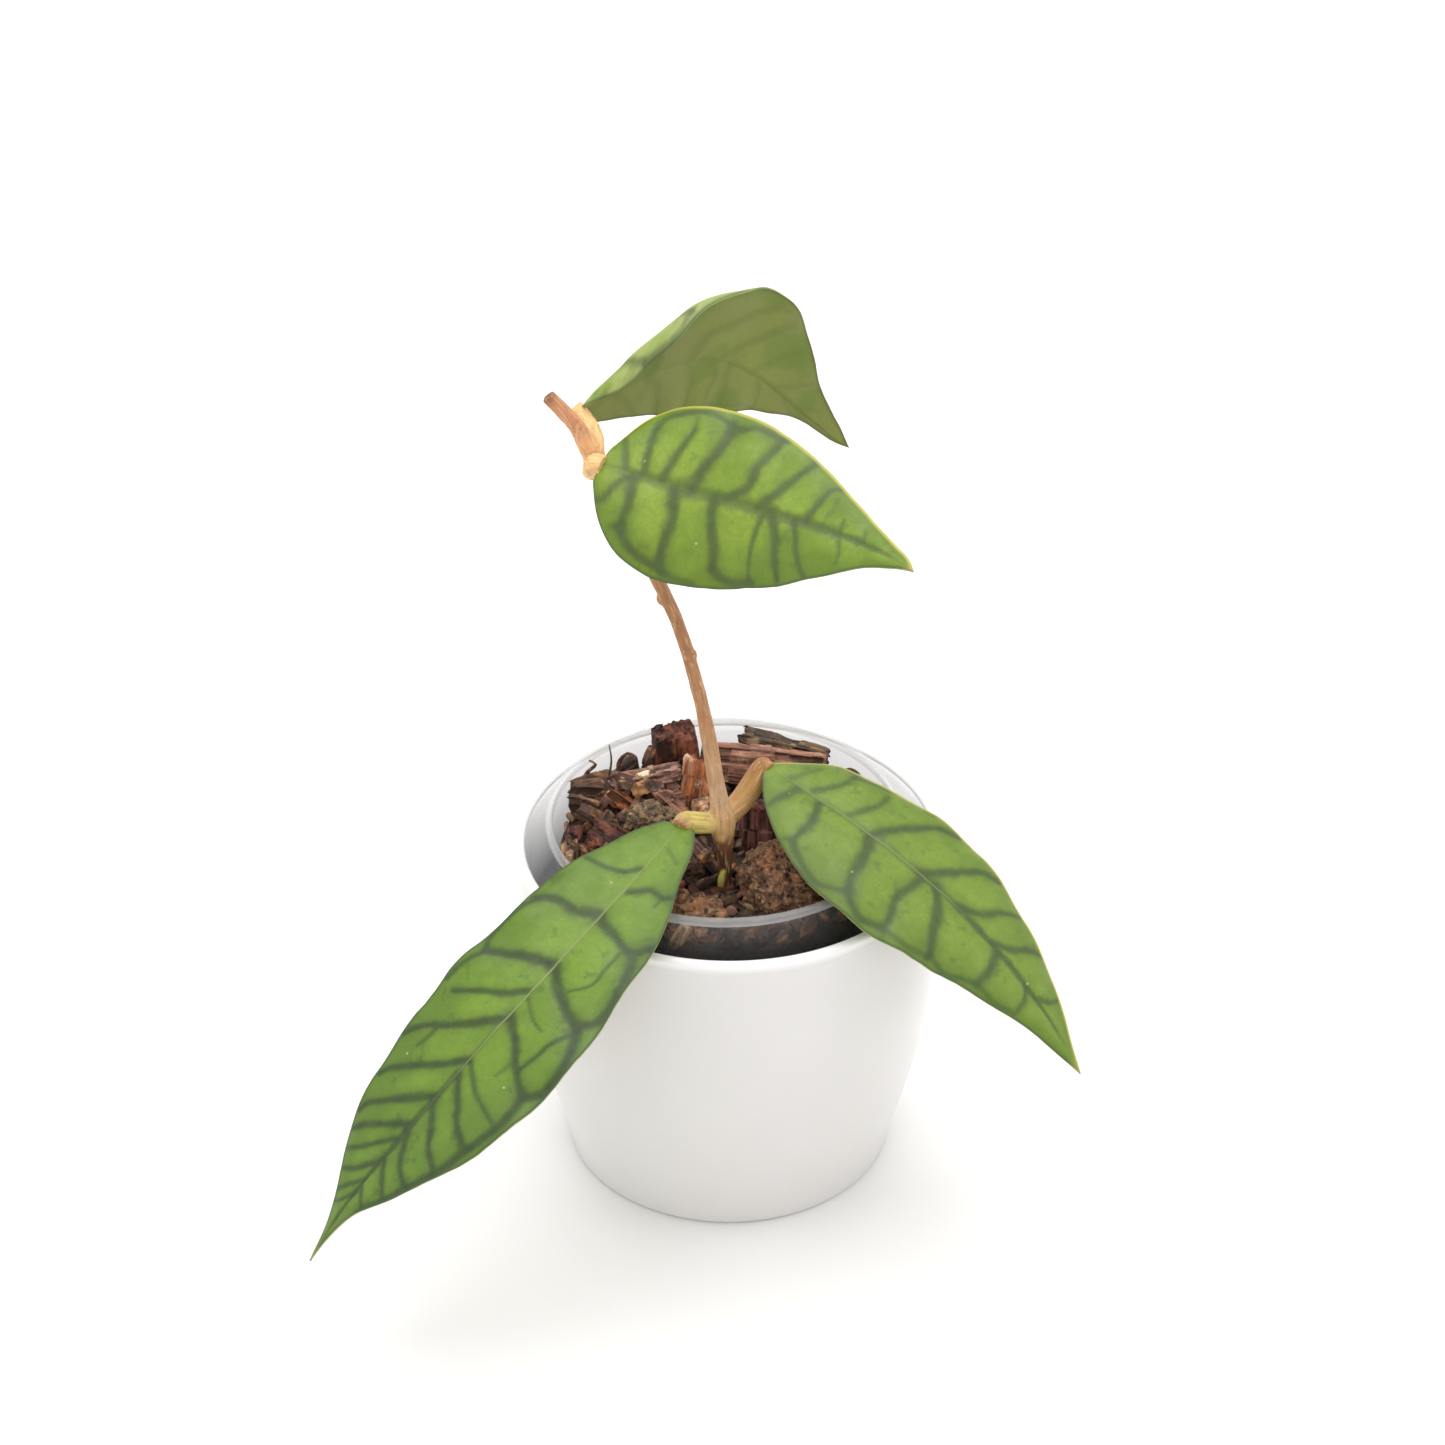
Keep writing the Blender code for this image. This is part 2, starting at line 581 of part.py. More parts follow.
def at_station(widths, share):
    """Half width at a share of the length, read smoothly between the stations."""
    last = len(BLADE_STATIONS) - 1
    place = next((i for i in range(last) if share <= BLADE_STATIONS[i + 1]), last - 1)
    low, high = BLADE_STATIONS[place], BLADE_STATIONS[place + 1]
    span = high - low
    local = (share - low) / span
    slopes = []
    for i in (place, place + 1):
        if 0 < i < last:
            run_in = BLADE_STATIONS[i] - BLADE_STATIONS[i - 1]
            run_out = BLADE_STATIONS[i + 1] - BLADE_STATIONS[i]
            rise_in = (widths[i] - widths[i - 1]) / run_in
            rise_out = (widths[i + 1] - widths[i]) / run_out
            slopes.append((rise_in * run_out + rise_out * run_in) / (run_in + run_out))
        elif i == 0:
            slopes.append((widths[1] - widths[0]) / (BLADE_STATIONS[1] - BLADE_STATIONS[0]))
        else:
            slopes.append((widths[last] - widths[last - 1]) / span)
    square, cube = local ** 2, local ** 3
    return (
        widths[place] * (2 * cube - 3 * square + 1) + slopes[0] * span * (cube - 2 * square + local)
        + widths[place + 1] * (3 * square - 2 * cube) + slopes[1] * span * (cube - square)
    )


def midrib_frame(leaf, share, samples):
    """Place, direction, right-hand side and upper face of the midrib at a share of its length."""
    target = share * samples[-1][1]
    i = next((k for k in range(1, len(samples)) if samples[k][1] >= target), len(samples) - 1)
    before, after = samples[i - 1], samples[i]
    part = (target - before[1]) / (after[1] - before[1])
    place = before[0].lerp(after[0], part)
    ahead = samples[min(i + 1, len(samples) - 1)][0] - samples[max(i - 2, 0)][0]
    direction = ahead.normalized()
    right = direction.cross(Vector((0.0, 0.0, 1.0))).normalized()
    upper = right.cross(direction)
    roll = math.radians(between(leaf["roll"], share))
    side = right * math.cos(roll) + upper * math.sin(roll)
    return place, side, side.cross(direction)


def section(leaf, share, across):
    """Reach to the side and towards the upper face at a signed share of the half width."""
    half = 0 if across < 0 else 1
    width = at_station(leaf["left"] if across < 0 else leaf["right"], share)
    flat = width
    if across > 0 and "rolled_from" in leaf:
        flat = min(width, at_station(leaf["rolled_from"], share))
    reach = rise = 0.0
    length = width * abs(across)
    step = length / BLADE_SECTION_STEPS
    for k in range(BLADE_SECTION_STEPS):
        part = (k + 0.5) / BLADE_SECTION_STEPS
        slope = math.radians(leaf["fold"][half] + leaf["curl"][half] * abs(across) * part)
        over = length * part - flat
        if over > 0:
            tight, wide = leaf["roll_radius"]
            slope -= over / (tight + (wide - tight) * min(1.0, share / ROLL_WIDENS_BY))
        reach += math.cos(slope) * step
        rise += math.sin(slope) * step
    size, count = leaf["wave"]
    rise += size * across ** 2 * math.sin(math.pi * share) * math.sin(2 * math.pi * count * share + half)
    return math.copysign(reach, across) * MM, rise * MM


def build_leaf(name, leaf, green):
    """Thin waved blade along its curved midrib, pointed at the tip."""
    start, first, second, end = (Vector(point) * MM for point in leaf["midrib"])
    samples = []
    travelled = 0.0
    for point in interpolate_bezier(start, first, second, end, MIDRIB_SAMPLES):
        if samples:
            travelled += (point - samples[-1][0]).length
        samples.append((point, travelled))
    columns = ROLLED_BLADE_COLUMNS if "rolled_from" in leaf else BLADE_COLUMNS
    bm = bmesh.new()
    bmesh.ops.create_grid(bm, x_segments=columns, y_segments=BLADE_ROWS, size=1.0)
    tip = []
    for corner in bm.verts:
        across = corner.co.x
        even = (corner.co.y + 1.0) / 2.0
        crowded = 1.0 - (1.0 - even) ** TIP_CROWDING_POWER
        share = even + (crowded - even) * TIP_CROWDING
        place, side, upper = midrib_frame(leaf, share, samples)
        reach, rise = section(leaf, share, across)
        if share > 0.999:
            tip.append(corner)
        corner.co = place + side * reach + upper * rise
    bmesh.ops.pointmerge(bm, verts=tip, merge_co=end)
    bmesh.ops.triangulate(bm, faces=bm.faces)
    blade = add_object(name, bm, green)
    wall = blade.modifiers.new("thickness", "SOLIDIFY")
    wall.thickness = BLADE_THICKNESS
    wall.offset = 0.0
    wall.use_even_offset = False
    keep_evaluated(blade)
    blade.data.shade_smooth()
    blade.data.set_sharp_from_angle(angle=math.radians(50))
    return blade


def main():
    """Build the pots, the mix with its stones, and the plant."""
    clear_scene()
    build_cover_pot()
    build_grow_pot()
    build_bark_mix()
    build_lava_stones()
    build_stem()
    green = material("leaf_green", (0.22, 0.37, 0.08), 0.4)
    for name, leaf in LEAVES.items():
        build_leaf(name, leaf, green)


main()
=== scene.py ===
"""Potted hoya cutting: finished leaves, stem, potting mix, stones, pots and a studio.

Lengths are metres in the part's own frame, with +Z up and the origin at the centre of
the cover pot's base. Tables of leaf, stem and bark sizes are in millimetres.
"""

import math
import random

import bmesh
import bpy
import numpy as np
from bpy.props import FloatProperty, FloatVectorProperty, IntProperty, PointerProperty
from mathutils import Matrix, Vector, noise
from mathutils.geometry import interpolate_bezier


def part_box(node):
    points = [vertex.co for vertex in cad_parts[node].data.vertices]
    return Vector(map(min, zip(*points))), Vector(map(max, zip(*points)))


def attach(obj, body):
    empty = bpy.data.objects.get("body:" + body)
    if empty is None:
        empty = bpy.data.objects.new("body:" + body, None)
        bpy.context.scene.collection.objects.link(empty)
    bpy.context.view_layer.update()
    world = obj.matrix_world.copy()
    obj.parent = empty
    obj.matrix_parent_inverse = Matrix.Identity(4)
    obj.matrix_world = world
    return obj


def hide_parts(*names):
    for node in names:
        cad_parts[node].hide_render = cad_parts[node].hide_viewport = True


bl_info = {
    "name": "Potted Hoya",
    "version": (1, 0, 0),
    "blender": (4, 5, 0),
    "location": "View3D > Sidebar > Hoya",
    "description": "Builds a potted hoya cutting with veined leaves, bark mix and pots",
    "category": "Object",
}

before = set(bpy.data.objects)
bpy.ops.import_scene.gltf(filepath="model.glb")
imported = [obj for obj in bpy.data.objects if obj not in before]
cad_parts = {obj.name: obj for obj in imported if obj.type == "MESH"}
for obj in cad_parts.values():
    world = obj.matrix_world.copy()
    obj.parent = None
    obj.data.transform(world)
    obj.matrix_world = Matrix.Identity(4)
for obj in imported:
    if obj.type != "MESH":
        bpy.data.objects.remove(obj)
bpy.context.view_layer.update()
GROW_HEIGHTS = [corner[2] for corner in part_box("grow_pot")]
MM = 0.001
UP = np.array((0.0, 0.0, 1.0))


def linear(red, green, blue):
    """Linear colour of a display colour given as 0 to 255."""
    result = []
    for value in (red, green, blue):
        value /= 255.0
        result.append(value / 12.92 if value <= 0.04045 else ((value + 0.055) / 1.055) ** 2.4)
    return tuple(result)


# Sizes repeated from the solids, whose cover pot has a 2 mm round inside at its floor
COVER_WALL = 2.2 * MM
COVER_FLOOR = 3.3 * MM
COVER_BASE_RADIUS = 36.6 * MM
COVER_FOOT_ROUND = 1.6 * MM
COVER_INNER_ROUND = 4.0 * MM
COVER_BULGE = ((4, 36.9), (11, 38.7), (20, 41.1), (30, 43.3), (42, 45.0), (54, 45.7), (66, 45.9))
GROW_X = -1.0 * MM
GROW_LIP_DROP = 1.8 * MM
GROW_WALL = 0.8 * MM
GROW_MOUTH_RADIUS = 38.4 * MM
GROW_BASE_RADIUS = 28.5 * MM
GROW_FLOOR = 1.2 * MM
GROW_FOOT_ROUND = 1.0 * MM
MIX_TOP = 75.8 * MM
MIX_GAP = 0.3 * MM

# Bark chunks that show from the front: centre and (length, width, height) in millimetres,
# turn about Z, lean forwards and lean sideways in degrees, and the name of their colours.
# The third and fourth differ a little from the solids', which don't have the last six.
SHOWN_CHUNKS = (
    ((-12, 26, 81.3), (10, 8, 17), (12, 4, -4), "rust"),
    ((-7.5, 17, 79.3), (6, 4, 14), (-10, -28, 4), "orange"),
    ((8, 24, 82.2), (25, 10, 8.5), (-4, -24, 4), "mauve"),
    ((12.5, 29, 82.8), (18, 7, 6), (-16, -18, 7), "bronze"),
    ((-29, 15, 78.3), (12, 9, 12), (18, 0, 6), "umber"),
    ((-20, 19, 78.3), (15, 9, 8), (8, -22, -6), "mauve"),
    ((-26, -1, 77.3), (9, 7, 9), (-24, 10, 14), "rust"),
    ((-33, -7, 77.3), (5, 5, 8), (10, 0, 0), "tan"),
    ((-6, 8.5, 79.3), (5, 5, 6), (30, 0, 10), "tan"),
    ((8.5, 2, 79.3), (12, 7, 13), (6, -26, 4), "wine"),
    ((-19, 17.5, 82.6), (15, 6, 4), (8, -15, -8), "pink"),
    ((-17.5, 24, 82.8), (3.5, 3, 7), (30, 10, 20), "umber"),
    ((-22, 23, 81.8), (5, 3, 5), (60, -20, 10), "umber"),
    ((-18.9, 15.6, 84.2), (2.6, 2.2, 1.8), (20, 10, 0), "cream"),
    ((-29, 4, 81.5), (8, 3, 2.5), (-30, 10, 20), "umber"),
    ((-15, 10.5, 81.5), (9, 4, 3), (40, -20, 12), "pink"),
)
# Plain chunks, in the solids' rings and with their spans of size, turn and height
CHIP_SEED = 7
CHIP_RINGS = ((30.5, 13), (22.5, 9), (13.0, 6))
CHIP_SPREAD = 2.0 * MM
CHIP_LENGTHS = (9.0 * MM, 15.0 * MM)
CHIP_SECTIONS = (6.0 * MM, 9.0 * MM)
CHIP_TURNS = ((0, 180), (-25, 25), (-20, 20))
CHIP_HEIGHTS = (-1.5 * MM, 1.8 * MM)
CLEAR_OF_CHUNKS = 6.0 * MM
CLEAR_OF_STEM = 9.0 * MM
# Relief of broken bark in bumps per metre, the scale along a chip that draws it out, and the
# longest length that its torn ends are shares of
FIBRES, SPLINTERS, SPLITS, SWELLS = 1100.0, 520.0, 420.0, 170.0
DRAWN_OUT = 0.20
TORN_END = 9.0 * MM
# Loose bark: reach from the pot's axis and heights of the layer and of the heap, three sizes
# in millimetres, and turns in degrees
SHARDS = {
    "reach": (35.0, 3.2, 5.5),
    "sizes": ((4.0, 10.0), (2.5, 5.0), (1.6, 4.0)),
    "turns": ((0, 360), (-45, 45), (-50, 50)),
}
CRUMBS = {
    "reach": (36.0, 2.6, 5.0),
    "sizes": ((1.0, 4.5), (0.8, 2.4), (0.6, 1.8)),
    "turns": ((0, 360), (-60, 60), (-60, 60)),
}
HEAP_CENTRE = Vector((-24.0, 9.0, 0.0)) * MM
HEAP_REACH = 20.0 * MM
# Dead roots and twigs in millimetres: (x, y, z, radius) rows read as one smooth curve
TWIGS = (
    ((-33, 18, 80, 0.5), (-31.5, 17.5, 84.5, 0.45), (-29.5, 17.5, 86.8, 0.35), (-31, 18, 87.6, 0.2)),
    ((-24, 20, 80.5, 0.6), (-24.5, 20.5, 85, 0.5), (-22.5, 21, 87.4, 0.35), (-20.5, 20.5, 86.8, 0.2)),
    ((-18, 22, 81, 0.7), (-17, 22.5, 85.5, 0.6), (-15.5, 23, 88.5, 0.4), (-16.5, 23.5, 89.6, 0.25)),
    ((-27, 16, 82, 0.3), (-26, 17, 88, 0.22), (-26.5, 18.5, 91.5, 0.12)),
    ((-6.5, 24, 82, 0.3), (-5.6, 25, 90, 0.22), (-6.6, 25.5, 96, 0.12)),
    ((-34.5, -4, 79, 0.3), (-35.5, -3, 82, 0.25), (-35, -1, 84, 0.15)),
    ((24, 24, 79, 0.8), (27, 22.5, 81.5, 0.9), (29, 21.5, 81, 0.5)),
    ((-22, -2, 80, 0.35), (-19, -1, 84, 0.3), (-16.5, -1.5, 83, 0.2)),
)
# Display colours of each kind of bark: its body, its crevices and its worn places
BARK_COLOURS = {
    "rust": ((134, 74, 52), (70, 40, 31), (178, 108, 74)),
    "orange": ((214, 128, 76), (132, 74, 46), (228, 198, 160)),
    "mauve": ((164, 114, 91), (98, 65, 52), (190, 148, 124)),
    "umber": ((108, 76, 54), (52, 36, 28), (186, 132, 82)),
    "bronze": ((132, 102, 76), (66, 48, 38), (196, 160, 112)),
    "tan": ((190, 144, 106), (108, 70, 50), (232, 212, 170)),
    "pink": ((166, 124, 106), (96, 66, 54), (206, 170, 148)),
    "cream": ((222, 200, 154), (176, 136, 96), (240, 226, 190)),
    "wine": ((146, 88, 74), (90, 52, 46), (172, 116, 96)),
}
# Colours that the plain chunks draw from, the first eight, and the shards and crumbs, all of them
FILL_COLOURS = ("umber", "umber", "umber", "rust", "rust", "mauve", "wine", "bronze",
                "bronze", "tan", "pink", "orange")

# Lava stones: node name, centre and half sizes in millimetres, seed of the surface, finish
LAVA_STONES = (
    ("lava_stone_large", (11.0, -17.0, 80.3), (8.8, 9.8, 8.2), 3, "brown"),
    ("lava_stone_front", (-7.0, -27.3, 77.9), (6.4, 6.0, 5.6), 11, "brown"),
    ("lava_stone_left", (-17.0, 5.0, 79.9), (6.8, 5.6, 5.0), 5, "olive"),
    ("lava_stone_dark", (-9.8, -9.5, 77.3), (4.2, 4.4, 4.4), 8, "dark"),
    ("lava_stone_right", (24.0, -4.0, 78.5), (7.4, 6.4, 5.8), 14, "brown"),
)
# Large lumps of the stones: bumps in one radius, and their height as a share of it
STONE_LUMPS = ((1.7, 0.16), (5.0, 0.05))
STONE_SEED_STEP = Vector((3.7, 1.3, 2.1))
# Relief of the stones in bumps per millimetre
STONE_BROAD, STONE_ROUGH, STONE_CRACKS, STONE_PITS, STONE_PORES = 0.26, 0.55, 0.30, 0.55, 1.4
# Display colours of each finish: body, painted shade in the hollows, worn grains and rusty patches
STONE_COLOURS = {
    "brown": ((158, 118, 86), (92, 64, 48), (204, 168, 132), (166, 106, 66)),
    "olive": ((146, 122, 92), (82, 66, 50), (190, 170, 132), (150, 112, 70)),
    "dark": ((98, 68, 52), (48, 34, 28), (138, 102, 78), (110, 70, 46)),
}

# Main stem in millimetres: (x, y, z, radius) rows read as one smooth curve
STEM_RUN = (
    (0.3, -15.5, 54, 1.3), (-0.4, -15.0, 66, 1.35), (-0.9, -14.5, 74, 1.4),
    (-1.0, -13.2, 82, 1.6), (-1.2, -12.0, 87, 2.2), (-1.5, -11.3, 92, 3.0),
    (-2.0, -11.1, 96, 2.2), (-2.7, -11.0, 101, 1.85), (-4.5, -11.0, 114, 1.65),
    (-6.3, -11.0, 124, 1.5), (-8.6, -11.0, 134, 1.45), (-11.5, -11.0, 144, 1.45),
    (-17.1, -11.0, 158, 1.5), (-23.6, -11.0, 173, 1.8), (-28.0, -10.8, 183, 2.2),
    (-31.1, -10.8, 189, 1.65), (-36.4, -10.8, 195.5, 1.5),
)
# Each leaf's petiole in millimetres: where it leaves the stem, its first handle, its radius at
# both ends, how far it runs in line with its blade, and the share that it swells by midway.
# The lower right one's middle lies up to 1.1 mm beside the solid's.
PETIOLES = {
    "leaf_lower_left": ((-1.6, -11.2, 92.0), (-5.0, -12.6, 91.4), (2.2, 2.4), 1.4, 0.05),
    "leaf_lower_right": ((-1.2, -10.9, 92.6), (5.0, -6.4, 94.4), (2.4, 1.4), 1.1, 0.32),
    "leaf_upper_front": ((-27.6, -11.0, 181.5), (-27.8, -15.6, 178.2), (2.0, 2.2), 1.2, 0.0),
    "leaf_upper_back": ((-27.6, -11.0, 182.4), (-27.0, -7.4, 186.4), (2.3, 2.6), 1.2, 0.0),
}
# Small green sprout at the stem's foot: (x, y, z, radius) rows
SPROUT = ((-2.0, -15.4, 77.0, 0.7), (-1.8, -15.2, 79.0, 0.8), (-1.2, -14.6, 81.0, 0.6))
# Small lumps on the stem: place and radius
STEM_NUBS = (((-8.1, -12.3, 134.8), 1.5), ((-13.6, -10.2, 147.5), 1.6), ((-1.6, -13.3, 88.8), 1.5))
# How far a stalk's skin runs into its blade, and the spacing of the points along a run
STALK_OVERLAP = 0.6
STEM_STEP = 0.8
# Display colours of the skin at shares of each run's length
SKIN = {
    "stem": (
        (0.0, (60, 36, 24)), (0.19, (74, 46, 30)), (0.225, (112, 72, 46)),
        (0.25, (236, 190, 122)), (0.27, (228, 184, 136)), (0.30, (218, 180, 144)),
        (0.42, (192, 142, 98)), (0.60, (174, 123, 82)), (0.80, (184, 132, 88)),
        (0.86, (230, 172, 120)), (0.89, (252, 208, 144)), (0.93, (222, 162, 118)),
        (0.985, (206, 146, 106)), (1.0, (132, 88, 64)),
    ),
    "leaf_lower_left": (
        (0.0, (240, 200, 134)), (0.30, (244, 224, 132)), (0.75, (234, 218, 118)),
        (1.0, (186, 138, 98)),
    ),
    "leaf_lower_right": (
        (0.0, (214, 166, 110)), (0.35, (180, 138, 76)), (0.75, (168, 116, 64)),
        (1.0, (190, 142, 94)),
    ),
    "sprout": ((0.0, (150, 140, 56)), (1.0, (212, 208, 92))),
    "leaf_upper_front": ((0.0, (240, 190, 132)), (0.5, (252, 208, 144)), (1.0, (244, 198, 136))),
    "leaf_upper_back": ((0.0, (246, 196, 134)), (0.5, (252, 206, 142)), (1.0, (238, 190, 126))),
}
